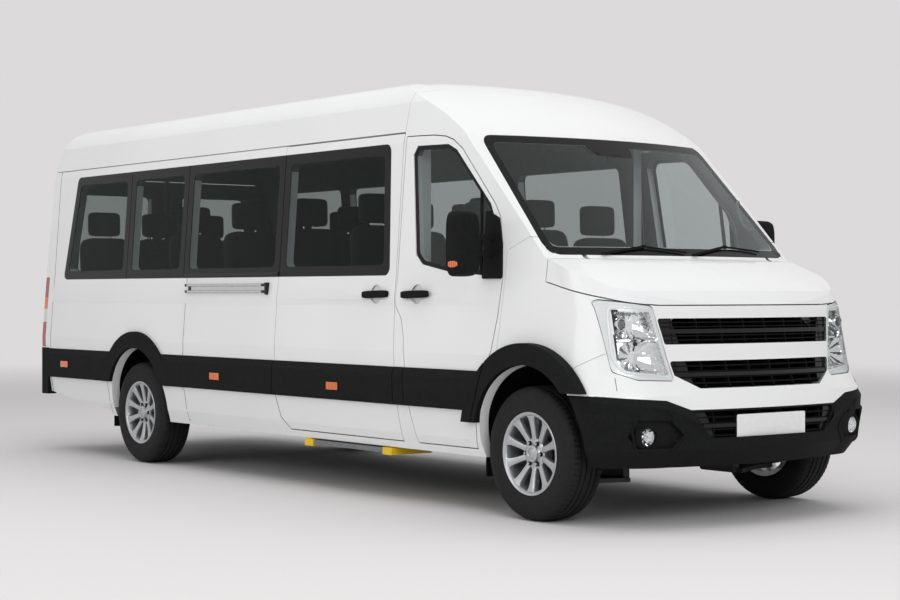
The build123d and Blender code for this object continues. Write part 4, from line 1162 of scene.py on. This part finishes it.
# Profiles round the lamp's axis: radius and distance ahead of the lamp's seat.
FOG_RING = [(0.047, -0.03), (0.047, 0.004), (0.052, 0.010), (0.062, 0.008), (0.074, -0.012), (0.074, -0.03)]
FOG_BOWL = [(0.0005, -0.022), (0.018, -0.020), (0.034, -0.012), (0.0468, 0.002), (0.0468, -0.028),
            (0.0005, -0.028)]
FOG_BULB = [(0.0005, -0.004), (0.007, -0.006), (0.009, -0.02), (0.0005, -0.02)]
FOG_COVER = [(0.0005, 0.011), (0.020, 0.009), (0.036, 0.006), (0.0465, 0.001), (0.0465, -0.001),
             (0.036, 0.004), (0.020, 0.007), (0.0005, 0.009)]
FOG_LIP = [(-0.879, 0.572), (-0.665, 0.560), (-0.572, 0.474), (-0.637, 0.385), (-0.835, 0.385)]
for side, sign in BOTH:
    y, z = sign * FOG[0], FOG[1]
    edges = [seen_from(nose, 0, 1, (y + across, z)).x for across in (-0.056, 0.056)]
    seat = sum(edges) / 2 - 0.002
    mesh = bmesh.new()
    lip = [on_nose(0.001)(py, pz) for py, pz in mirrored(rounded(FOG_LIP, 0.03), sign)]
    tube(mesh, lip, 0.008, sides=10, closed=True)
    turned_ahead_of(seat, mesh, FOG_RING, y, z, 40)
    for height in FOG_BARS:
        low, high = height - 0.004, height + 0.004
        bar = mirrored([(-0.690, low), (-0.610, low), (-0.600, high), (-0.690, high)], sign)
        laid_sheet(mesh, bar, (1, 2), on_nose(-0.001), back=(-0.012, 0, 0))
    new_piece(f"fog_bezel_{side}", "body", mesh, grained_plastic, smooth=30)
    mesh = bmesh.new()
    turned_ahead_of(seat, mesh, FOG_BOWL, y, z, 18)
    turned_ahead_of(seat, mesh, FOG_BULB, y, z, 12)
    new_piece(f"fog_reflector_{side}", "body", mesh, vacuum_chrome, smooth=5, slot="clear_lens")
    mesh = bmesh.new()
    turned_ahead_of(seat, mesh, FOG_COVER, y, z, 40)
    new_piece(f"fog_cover_{side}", "body", mesh, lens_clear, slot="clear_lens")
print("fog lamps: 2")

# %% Front plate
PLATE_FACE = 3.311                   # front of the pad that carries the plate
half, low, high = PLATE
mesh = bmesh.new()
laid_sheet(mesh, rounded([(-half, low), (half, low), (half, high), (-half, high)], 0.012), (1, 2),
           lambda y, z: Vector((PLATE_FACE + 0.004, y, z)), step=0.2, back=(-0.004, 0, 0))
new_piece("front_plate", "body", mesh, plate_white, rounding=0.001)
print("blank plate:", 2 * half, "m wide")

# %% [markdown]
# ## Seats
# A seat pad is foam under stretched cloth. Its faces crown, its edges are round,
# and a sewn channel parts the middle from the firmer bolsters. A pad could be
# sculpted or inflated. Here it is a closed loft of rounded sections that carry the
# channel, because all 54 pads then come from one table of sizes.

# %% Seat pads
THREE_ABREAST = (-0.610, 0.260, 0.700)
SEAT_ROWS = [  # x of the backs, height of the cushions, y of each seat, all in metres
    (1.480, 0.960, (-0.450, 0.450)), (0.620, 1.040, THREE_ABREAST), (-0.140, 1.040, THREE_ABREAST),
    (-0.900, 1.040, THREE_ABREAST), (-1.660, 1.040, THREE_ABREAST),
    (-2.900, 1.040, (-0.690, -0.230, 0.230, 0.690))]
# Name, solid part, start and end from the seat's corner, facing, half width, half thickness and crown.
SEAT_PADS = [
    ("seat_cushion", "seat_bases", (-0.008, -0.055), (0.498, -0.055), (0, 0, 1), 0.214, 0.054, 0.004),
    ("seat_back", "seat_backs", (0.052, 0.004), (-0.010, 0.578), (1, 0, 0.1), 0.213, 0.050, 0.006),
    ("headrest", "seat_backs", (-0.031, 0.597), (-0.036, 0.778), (1, 0, 0.03), 0.128, 0.036, 0.004)]
BOLSTER = 0.62                       # where the sewn channel runs, as a share of the half width
CHANNEL_WIDTH, CHANNEL_DEPTH = 0.05, 0.006
ROUNDNESS = 0.45                     # 1 makes the section an ellipse, near 0 a rectangle
PAD_ROWS, PAD_SIDES = 22, 40


def pad_form(mesh, start, end, facing, half_width, half_thick, crown):
    """A crowned pad from start to end. Its front looks along facing; its bolsters are finish 1."""
    start, end, facing = Vector(start), Vector(end), Vector(facing).normalized()
    across = (end - start).normalized().cross(facing)
    rows = []
    for i in range(PAD_ROWS + 1):
        u = -cos(pi * i / PAD_ROWS)
        full = max(1 - abs(u) ** 7, 0.03) ** (1 / 7)
        middle = start.lerp(end, (u + 1) / 2)
        row = []
        for k in range(PAD_SIDES):
            angle = 2 * pi * k / PAD_SIDES
            side, front = [copysign(abs(value) ** ROUNDNESS, value) for value in (cos(angle), sin(angle))]
            depth = half_thick * front * full
            if front > 0:
                channel = exp(-((abs(side) - BOLSTER) / CHANNEL_WIDTH) ** 2)
                if abs(side) < BOLSTER:
                    channel += 0.7 * exp(-((u - 0.1) / CHANNEL_WIDTH) ** 2)
                depth += crown * (1 - side * side) * (1 - u * u) - CHANNEL_DEPTH * min(channel, 1) * full
            row.append(middle + across * half_width * side * full + facing * depth)
        rows.append(row)
    faces = loft(mesh, rows, caps=True)
    for i, face in enumerate(faces[:-2]):
        angle = 2 * pi * (i % PAD_SIDES + 0.5) / PAD_SIDES
        face.material_index = 0 if abs(cos(angle)) ** ROUNDNESS < BOLSTER and sin(angle) > 0 else 1


print("pads on each seat:", len(SEAT_PADS))

# %% Seats
legs = bmesh.new()
posts = bmesh.new()
count = 0
for x, z, places in SEAT_ROWS:
    for y in places:
        count += 1
        for name, node, start, end, facing, *sizes in SEAT_PADS:
            mesh = bmesh.new()
            pad_form(mesh, (x + start[0], y, z + start[1]), (x + end[0], y, z + end[1]), facing, *sizes)
            piece = new_piece(f"{name}_{count}", "body", mesh, seat_cloth, side_cloth, replaces=(node,),
                              smooth=60, slot="seat_fabric")
        for post in (y - 0.05, y + 0.05):
            tube(posts, [(x - 0.025, post, z + 0.55), (x - 0.030, post, z + 0.62)], 0.006, sides=10)
        inner = y + (0.12 if y < 0 else -0.12)
        slab(legs, (x + 0.15, inner - 0.026, 0.602), (x + 0.41, inner + 0.026, z - 0.105))
        slab(legs, (x + 0.12, inner - 0.029, 0.601), (x + 0.42, inner + 0.029, 0.612))
new_piece("seat_legs", "body", legs, frame_black, replaces=["seat_bases"], rounding=0.006, slot="black_frame")
new_piece("headrest_posts", "body", posts, vacuum_chrome, replaces=["seat_backs"], slot="bright_rail")
print("seats:", count)

# %% [markdown]
# ## Driver's place
# The wheel's rim is wrapped in leather over a ring, and three spokes carry a
# padded boss. A hood over the dials, a plain screen, four air vents and a short
# lever complete the dashboard. The wheel stands askew, so each of its points is
# worked out from the hub in the wheel's own plane. Modelling it flat and turning
# it afterwards would do as well, but this way nothing depends on an object's pose.

# %% Steering wheel and dashboard
HUB = Vector((1.925, -0.45, 1.150))                  # middle of the steering wheel
COLUMN = Vector((-0.65, 0, 0.76)).normalized()       # from the dashboard towards the driver
UPWARD = COLUMN.cross(Vector((0, 1, 0))).normalized() * -1


def wheel_point(radius, turn, lift=0.0):
    """A place on the steering wheel, lift towards the driver."""
    return HUB + radius * (cos(turn) * Vector((0, 1, 0)) + sin(turn) * UPWARD) + lift * COLUMN


mesh = bmesh.new()
tube(mesh, [wheel_point(0.185, 2 * pi * k / 72) for k in range(72)], 0.0182, sides=16, closed=True)
new_piece("steering_rim", "body", mesh, grained_leather, slot="cabin_plastic")
mesh = bmesh.new()
rows = []
for share, lift in ((0.2, 0.040), (0.7, 0.038), (0.93, 0.030), (1.0, 0.016), (1.0, -0.012)):
    rows.append([wheel_point(0.062 * share * (1 + 0.12 * cos(4 * 2 * pi * k / 48)), 2 * pi * k / 48, lift)
                 for k in range(48)])
loft(mesh, rows, caps=True)
for turn in (0, pi, 1.5 * pi):       # both sides and straight down
    spoke = []
    for radius, half in ((0.04, 0.020), (0.10, 0.016), (0.176, 0.022)):
        middle, sideways = wheel_point(radius, turn), wheel_point(1, turn + pi / 2) - HUB
        spoke.append([middle + sideways * half * a + COLUMN * 0.012 * b
                      for a, b in ((-1, -0.6), (-0.7, 1), (0.7, 1), (1, -0.6))])
    loft(mesh, spoke, caps=True)
new_piece("steering_boss", "body", mesh, cabin_plastic, rounding=0.003, slot="cabin_plastic")
print("steering wheel: rim and boss")

# %% Dashboard fittings
HOOD = [  # x, half width, foot and top of the hood over the dials
    (2.100, 0.19, 1.285, 1.372), (2.120, 0.20, 1.275, 1.388), (2.220, 0.20, 1.275, 1.384)]
VENTS = (-0.78, -0.17, 0.17, 0.78)
mesh = bmesh.new()
rows = []
for x, half, low, high in HOOD:
    outline = rounded([(-half, low), (half, low), (half * 0.86, high), (-half * 0.86, high)], 0.05)
    rows.append([(x, HUB.y + a, b) for a, b in outline])
loft(mesh, rows, caps=True)
slab(mesh, (2.095, -0.12, 1.130), (2.104, 0.12, 1.270), 1)
for y in VENTS:
    for k in range(5):
        slab(mesh, (2.098, y - 0.045, 1.292 + 0.009 * k), (2.125, y + 0.045, 1.296 + 0.009 * k), 1)
tube(mesh, [(2.09, -0.02, 1.02), (2.03, -0.02, 1.06), (2.01, -0.02, 1.12)], 0.012)
turned(mesh, [(0.0005, 1.118), (0.018, 1.122), (0.025, 1.140), (0.020, 1.160), (0.0005, 1.166)],
       (2.01, -0.02, 0), 2, 24)
new_piece("dashboard_fittings", "body", mesh, cabin_plastic, smooth_black, rounding=0.004,
          slot="cabin_plastic")
print("dashboard vents:", len(VENTS))

# %% [markdown]
# ## Mirrors
# A mirror case is moulded in two halves. It is blunt in front and flat behind,
# where a tall glass stands above a small wide-angle one, and its outer edge holds
# an indicator. All are lofts of rounded rectangles: one helper draws the section,
# a table gives its size along the vehicle. They move with the door.

# %% Mirrors
def rounded_section(centre, half_a, half_b, axes, power=0.42, steps=40):
    """A rounded rectangle round a centre, in the plane of two axes."""
    row = []
    for k in range(steps):
        angle = 2 * pi * k / steps
        point = list(centre)
        for axis, half, value in zip(axes, (half_a, half_b), (cos(angle), sin(angle))):
            point[axis] += half * copysign(abs(value) ** power, value)
        row.append(point)
    return row


MIRROR_MIDDLE = (1.150, 1.4675)      # from the vehicle's middle, height
MIRROR_CASE = [  # x, half width, half height
    (2.118, 0.072, 0.164), (2.110, 0.079, 0.171), (2.112, 0.084, 0.1765), (2.140, 0.0845, 0.177),
    (2.180, 0.083, 0.174), (2.203, 0.076, 0.165), (2.214, 0.062, 0.150), (2.2195, 0.035, 0.120)]
for side, sign in BOTH:
    body = frame["nodes"]["door_trim_" + side]["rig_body"]
    y, z = sign * MIRROR_MIDDLE[0], MIRROR_MIDDLE[1]
    mesh = bmesh.new()
    loft(mesh, [rounded_section((x, y, z), a, b, (1, 2)) for x, a, b in MIRROR_CASE], caps=True)
    new_piece(f"mirror_case_{side}", body, mesh, grained_plastic, replaces=["door_trim_" + side], smooth=50)
    mesh = bmesh.new()
    for centre, half in ((z + 0.048, 0.108), (z - 0.118, 0.044)):
        loft(mesh, [rounded_section((2.116, y, centre), 0.070, half, (1, 2), 0.3),
                    rounded_section((2.113, y, centre), 0.069, half - 0.001, (1, 2), 0.3)], caps=True)
    new_piece(f"mirror_glass_{side}", body, mesh, vacuum_chrome, slot="clear_lens")
    mesh = bmesh.new()
    rows = [rounded_section((x, sign * 1.2285, 1.357), 0.0062, tall, (1, 2), 0.6, 20)
            for x, tall in ((2.130, 0.014), (2.150, 0.018), (2.185, 0.017), (2.200, 0.010))]
    loft(mesh, rows, caps=True)
    new_piece(f"mirror_indicator_{side}", body, mesh, amber_lens, slot="amber_lens")
print("mirrors: 2")

# %% [markdown]
# ## Handles
# A door handle is a grained bar, thickest in the middle, whose ends turn in to
# the door. The solid parts carry plain blocks for the handles and mirrors. The
# new pieces stand for them, so the blocks are taken out of the copies, face by
# face, which leaves the rest of the trim as it is.

# %% Handles
HANDLE_HEIGHT, HANDLE_HALF = 1.195, 0.130      # height, half length
HANDLE_STEPS = 24


def make_handle(name, node, x, sign):
    """A bar handle round x, fixed to a part of trim, whose ends turn in to the door."""
    mesh = bmesh.new()
    rows = []
    for k in range(HANDLE_STEPS + 1):
        u = k / (HANDLE_STEPS / 2) - 1
        half = (1 - abs(u) ** 4.0) ** 0.25 if abs(u) < 1 else 0
        middle = (x + HANDLE_HALF * u, sign * (1.026 - 0.004 * u * u), HANDLE_HEIGHT + 0.003 * u)
        rows.append(rounded_section(middle, 0.004 + 0.0115 * half, 0.006 + 0.016 * half, (1, 2), 0.55, 20))
    loft(mesh, rows, caps=True)
    new_piece(name, frame["nodes"][node]["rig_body"], mesh, grained_plastic, replaces=[node], smooth=60)


for side, sign in BOTH:
    make_handle("handle_front_" + side, "door_trim_" + side, 1.540, sign)
make_handle("handle_sliding", "cladding", 1.150, -1)
print("handles: 3")

# %% Trim without its blocks
def copy_without(test, name):
    """Copy a solid part of trim without the faces that a new piece stands for."""
    piece = copy_node(name, grained_plastic, crease=14, edge=0.004)
    mesh = bmesh.new()
    mesh.from_mesh(piece.data)
    gone = [face for face in mesh.faces if test(face.calc_center_median())]
    bmesh.ops.delete(mesh, geom=gone, context="FACES")
    mesh.to_mesh(piece.data)
    mesh.free()


def is_handle(centre):
    return abs(centre.z - HANDLE_HEIGHT) < 0.03 and abs(centre.y) > 1.0


def is_handle_or_mirror(centre):
    return abs(centre.y) > 1.062 and centre.z > 1.2 or is_handle(centre)


for side, _ in BOTH:
    copy_without(is_handle_or_mirror, "door_trim_" + side)
copy_without(is_handle, "cladding")
print("trim copied: 3")

# %% [markdown]
# ## Lamps, step and running gear
# The step has a yellow warning edge at both ends, and a tail lamp is red with a
# pale and an amber field. Both are one moulding on the real object, so each solid
# part is copied whole, cut where the material changes, and its faces get their
# finish by place. The running gear is copied with a fine edge and cast surfaces.

# %% Parts of several materials
STEP_GRIP = (0.445, 1.185)           # the grip lies between these places along the step
LAMP_FIELDS = (0.98, 1.08, 1.17)     # heights where the pale field begins, turns to amber, and ends


def step_part(face):
    """The finish of a face of the step: 0 for the grip, 1 for the yellow ends."""
    low, high = STEP_GRIP
    return int(abs(face.calc_center_median().x - (low + high) / 2) > (high - low) / 2)


def tail_lamp_part(face):
    """The finish of a face of a tail lamp: 0 for red, 1 for pale, 2 for amber."""
    height = face.calc_center_median().z
    pale, amber, end = LAMP_FIELDS
    return 1 if pale < height < amber else 2 if amber < height < end else 0


copy_node("side_step", step_grip, safety_yellow, choose=step_part,
          cuts=[(0, end) for end in STEP_GRIP], edge=0.006)
copy_node("tail_lamps", red_lens, pale_lens, amber_lens, choose=tail_lamp_part,
          cuts=[(2, height) for height in LAMP_FIELDS], edge=0.006)
copy_node("marker_lamps", amber_lens, edge=0.0025)
copy_node("wipers", grained_plastic, edge=0.002)
for node, finish in {
        "floor": floor_covering, "bulkhead": dull_black, "wheel_wells": dull_black, "chassis": frame_black,
        "engine": cast_iron, "front_axle": cast_iron, "rear_axle": cast_iron, "leaf_springs": cast_iron,
        "knuckle_right": cast_iron, "knuckle_left": cast_iron, "exhaust": exhaust_steel,
        "dashboard": cabin_plastic}.items():
    copy_node(node, finish, edge=0.002)
print("other parts dressed")

# %% [markdown]
# ## Rail of the sliding door
# The door runs on a drawn aluminium rail with two round beads, and black caps
# close both ends. It is built of blocks and round bars, all from its two ends.

# %% Rail of the sliding door
rear, front = -1.075, -0.030         # ends of the rail along the vehicle
mesh = bmesh.new()
slab(mesh, (rear + 0.02, -1.0195, 1.203), (front - 0.02, -1.006, 1.257))
for z in (1.254, 1.2115):
    tube(mesh, [(rear + 0.030, -1.0265, z), (front - 0.060, -1.0265, z)], 0.009, sides=16)
    tube(mesh, [(rear + 0.002, -1.026, z), (rear + 0.032, -1.026, z)], 0.0095, sides=16, material=1)
    tube(mesh, [(front - 0.062, -1.026, z), (front - 0.008, -1.026, z)], 0.0095, sides=16, material=1)
slab(mesh, (rear + 0.032, -1.023, 1.2205), (rear + 0.060, -1.006, 1.2445), 1)
slab(mesh, (front - 0.022, -1.034, 1.192), (front - 0.002, -1.006, 1.269), 1)
new_piece("sliding_rail", "body", mesh, drawn_aluminium, smooth_black, replaces=["door_rail"],
          rounding=0.0012, slot="bright_rail")
print("rail:", round(front - rear, 3), "m long")

# %% [markdown]
# ## Seams
# Where two pressings meet, a narrow gap follows the body, and shade in it shows as a thin dark line. A groove
# cut into the panel would be truer, but it would cut the panel's faces to pieces. Each line
# is a narrow dark sheet laid on the outside instead, less than a millimetre away
# from it: painted shade for the gap. The seams where solid parts meet are there already.

# %% Seams
flank = surface_of("side_right", "side_left", "sliding_door", "rear_frame", "roof_panel", "cladding",
                   "side_glass")
roof = surface_of("roof_panel", "cab_frame")
FLANK_SEAMS = [(-1.090, 0.330, 1.300), (-2.216, 0.330, 0.560)]      # x, lower and upper end
BUMPER_SEAM = [(3.076, 0.773), (3.104, 0.708), (3.106, 0.708), (3.078, 0.773)]   # x and height
ROOF_SEAMS, ROOF_REACH = (0.064, -1.450, -2.900), 0.90              # x of each, and its half length
HALF_SEAM = 0.002


def seam_strip(x, low, high):
    """The outline of a narrow upright strip round x."""
    return [(x - HALF_SEAM, low), (x + HALF_SEAM, low), (x + HALF_SEAM, high), (x - HALF_SEAM, high)]


mesh = bmesh.new()
for _, sign in BOTH:
    for x, low, high in FLANK_SEAMS:
        laid_sheet(mesh, seam_strip(x, low, high), (0, 2), against(flank, 1, sign, 0.0006))
for _, sign in BOTH:
    outwards = Vector((0.0003, 0.0005 * sign, 0))
    laid_sheet(mesh, BUMPER_SEAM, (0, 2), lambda u, v: seen_from(nose, 1, sign, (u, v)) + outwards)
for x in ROOF_SEAMS:
    laid_sheet(mesh, seam_strip(x, -ROOF_REACH, ROOF_REACH), (0, 1), against(roof, 2, 1, -0.0002))
# These dark sheets are painted shade, standing for the shade inside the gaps between pressings.
new_piece("painted_seam_shade", "body", mesh, dull_black)
print("seams:", 2 * (len(FLANK_SEAMS) + 1) + len(ROOF_SEAMS))

# %% [markdown]
# ## Small trim
# A ledge runs under each sliding window, a divider parts the small fixed pane from
# the door window, a handle helps the driver in, and a sensor box stands behind the
# screen with a printed patch in front of it. They are small, but they break up
# the large plain faces and give the vehicle its scale.

# %% Ledges, dividers and handle
LEDGE = [(-1.135, 1.312), (0.066, 1.312), (0.066, 1.334), (-1.135, 1.334)]       # x and height
DIVIDER = [(2.062, 1.296), (2.082, 1.296), (2.040, 1.800), (2.022, 1.815)]
GRAB_HANDLE = [(2.244, 0.86, 1.745), (2.258, 0.835, 1.730), (2.290, 0.825, 1.66), (2.325, 0.825, 1.60),
               (2.36, 0.835, 1.575), (2.385, 0.86, 1.575)]
mesh = bmesh.new()
for _, sign in BOTH:
    laid_sheet(mesh, LEDGE, (0, 2), against(flank, 1, sign, 0.007), step=0.2, back=(0, -0.009 * sign, 0))
new_piece("sliding_window_ledges", "body", mesh, smooth_black, rounding=0.002)

for side, sign in BOTH:
    door_pane = surface_of("door_glass_" + side)
    mesh = bmesh.new()
    laid_sheet(mesh, DIVIDER, (0, 2), against(door_pane, 1, sign, 0.003), step=0.1,
               back=(0, -0.016 * sign, 0))
    new_piece("window_divider_" + side, frame["nodes"]["door_glass_" + side]["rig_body"], mesh, dull_black,
              rounding=0.002)
mesh = bmesh.new()
tube(mesh, GRAB_HANDLE, 0.013, sides=14)
new_piece("grab_handle", "body", mesh, lining, smooth=60, slot="cabin_plastic")
print("ledges: 2, dividers: 2, grab handle: 1")

# %% Sensor behind the screen
screen = surface_of("windscreen")
cover = rounded([(-0.225, 2.066), (-0.165, 1.990), (0.090, 1.982), (0.125, 2.066)], 0.015)
mesh = bmesh.new()
laid_sheet(mesh, cover, (1, 2), against(screen, 0, 1, -0.008), step=0.05, back=(-0.045, 0, 0))
slab(mesh, (2.085, -0.055, 1.955), (2.110, -0.015, 1.990))
new_piece("screen_sensor", "body", mesh, dull_black, rounding=0.003, slot="cabin_plastic")
mesh = bmesh.new()
laid_sheet(mesh, cover, (1, 2), against(screen, 0, 1, 0.0006), step=0.05)
new_piece("screen_sensor_frit", "body", mesh, ceramic_frit, slot="dark_glass")
print("sensor box: 1, printed patch: 1")

# %% [markdown]
# ## Floor
# A pale floor runs into a pale backdrop with no edge between them. A studio bends
# its paper up to a wall. Here the floor glows in the backdrop's colour from some
# way out, so it can't be told from the backdrop in any view.

# %% Floor
BACKDROP = "#dcdada"
FLOOR_SIZE = 120.0
FADE_START, FADE_END = 9.0, 22.0      # metres from the middle, where the floor turns into the backdrop


def make_studio_floor():
    """Pale floor that keeps the shadow near the object and fades into the backdrop."""
    finish, tree, shader = new_finish("pale_studio_floor", Roughness=0.85)
    shader.inputs["Base Color"].default_value = linear("#dfdddd")
    shader.inputs["Specular IOR Level"].default_value = 0.15
    glow = add_node(tree, "ShaderNodeEmission", {"Color": linear(BACKDROP), "Strength": 1.0})
    where = add_node(tree, "ShaderNodeNewGeometry").outputs["Position"]
    distance = add_node(tree, "ShaderNodeVectorMath", {0: where}, operation="LENGTH").outputs["Value"]
    fade = add_node(tree, "ShaderNodeMapRange", {
        "Value": distance, "From Min": FADE_START, "From Max": FADE_END}, interpolation_type="SMOOTHSTEP")
    mixed = add_node(tree, "ShaderNodeMixShader", {
        0: fade.outputs["Result"], 1: shader.outputs["BSDF"], 2: glow.outputs["Emission"]})
    tree.links.new(mixed.outputs["Shader"], tree.nodes["Material Output"].inputs["Surface"])
    return finish


floor_mesh = bpy.data.meshes.new("studio_floor")
half = FLOOR_SIZE / 2
corners = [(-half, -half, 0), (half, -half, 0), (half, half, 0), (-half, half, 0)]
floor_mesh.from_pydata(corners, [], [(0, 1, 2, 3)])
floor_mesh.materials.append(make_studio_floor())
studio_floor = bpy.data.objects.new("studio_floor", floor_mesh)
bpy.context.scene.collection.objects.link(studio_floor)
print("floor:", FLOOR_SIZE, "m wide")

# %% [markdown]
# ## Backdrop
# Whatever looks past the vehicle, a camera's ray or one mirrored or passed on by
# glass, sees the plain backdrop. Everything else is lit by a sky that is bright
# above and dark at the horizon, which keeps the flanks from going flat.

# %% Backdrop
world = bpy.data.worlds.new("studio")
bpy.context.scene.world = world
world.use_nodes = True
sky = world.node_tree
sky.nodes.clear()
ray = add_node(sky, "ShaderNodeLightPath")
seen = add_node(sky, "ShaderNodeMath", {
    0: ray.outputs["Is Camera Ray"], 1: ray.outputs["Is Glossy Ray"]}, operation="MAXIMUM")
seen = add_node(sky, "ShaderNodeMath", {
    0: seen.outputs[0], 1: ray.outputs["Is Transmission Ray"]}, operation="MAXIMUM")
direction = add_node(sky, "ShaderNodeTexCoord").outputs["Generated"]
height = add_node(sky, "ShaderNodeSeparateXYZ", {"Vector": direction}).outputs["Z"]
above = add_node(sky, "ShaderNodeMapRange", {
    "Value": height, "From Min": 0.0, "From Max": 0.45, "To Min": 0.04, "To Max": 0.64},
    interpolation_type="SMOOTHSTEP")
fill = add_node(sky, "ShaderNodeBackground", {
    "Color": linear("#ffffff"), "Strength": above.outputs["Result"]})
backdrop = add_node(sky, "ShaderNodeBackground", {"Color": linear(BACKDROP), "Strength": 1.0})
mixed = add_node(sky, "ShaderNodeMixShader", {0: seen.outputs[0], 1: fill.outputs[0], 2: backdrop.outputs[0]})
add_node(sky, "ShaderNodeOutputWorld", {"Surface": mixed.outputs[0]})
print("backdrop:", BACKDROP)

# %% [markdown]
# ## Lamps
# One very large soft lamp above shapes the roof and shoulders. A second one in
# front and a third beside it open up the nose and the flank. Large lamps give
# soft, weak shadows, as cloth over a frame does in a studio. The one above isn't
# mirrored, so that panes and paint show the plain backdrop and not a bright slab.

# %% Lamps
LAMPS = [  # name, place, target, width, depth, watts
    ("overhead_softbox", (0.5, 0.0, 8.5), (0.3, 0, 0), 12.0, 9.0, 365),
    ("front_softbox", (9.5, -3.5, 3.8), (2.5, 0, 1.0), 4.0, 3.0, 165),
    ("flank_softbox", (1.0, -9.0, 3.5), (-0.5, 0, 1.1), 8.0, 2.5, 115),
]
for name, place, target, width, depth, watts in LAMPS:
    lamp = bpy.data.lights.new(name, "AREA")
    lamp.shape = "RECTANGLE"
    lamp.size, lamp.size_y, lamp.energy = width, depth, watts
    lamp_object = bpy.data.objects.new(name, lamp)
    lamp_object.location = place
    lamp_object.visible_glossy = name != "overhead_softbox"
    lamp_object.rotation_euler = (Vector(target) - Vector(place)).to_track_quat("-Z", "Y").to_euler()
    bpy.context.scene.collection.objects.link(lamp_object)
print("lamps:", len(LAMPS))

# %% [markdown]
# ## Camera
# The camera stands at the right front, at chest height and almost level, so that
# upright lines stay upright. A long lens from far away keeps the nose from
# growing large. The plain view transform shows colours as they are written.

# %% Camera
CAMERA_PLACE = (10.066, -7.293, 1.204)
CAMERA_DIRECTION = (-0.7941, 0.6077, -0.0039)
LENS_MM, SENSOR_MM = 74.65, 36.0
camera_data = bpy.data.cameras.new("camera")
camera_data.lens = LENS_MM
camera_data.sensor_width = SENSOR_MM
camera = bpy.data.objects.new("camera", camera_data)
camera.location = CAMERA_PLACE
camera.rotation_euler = Vector(CAMERA_DIRECTION).to_track_quat("-Z", "Y").to_euler()
bpy.context.scene.collection.objects.link(camera)
bpy.context.scene.camera = camera
bpy.context.scene.view_settings.view_transform = "Standard"
print("camera:", LENS_MM, "mm lens at", CAMERA_PLACE)
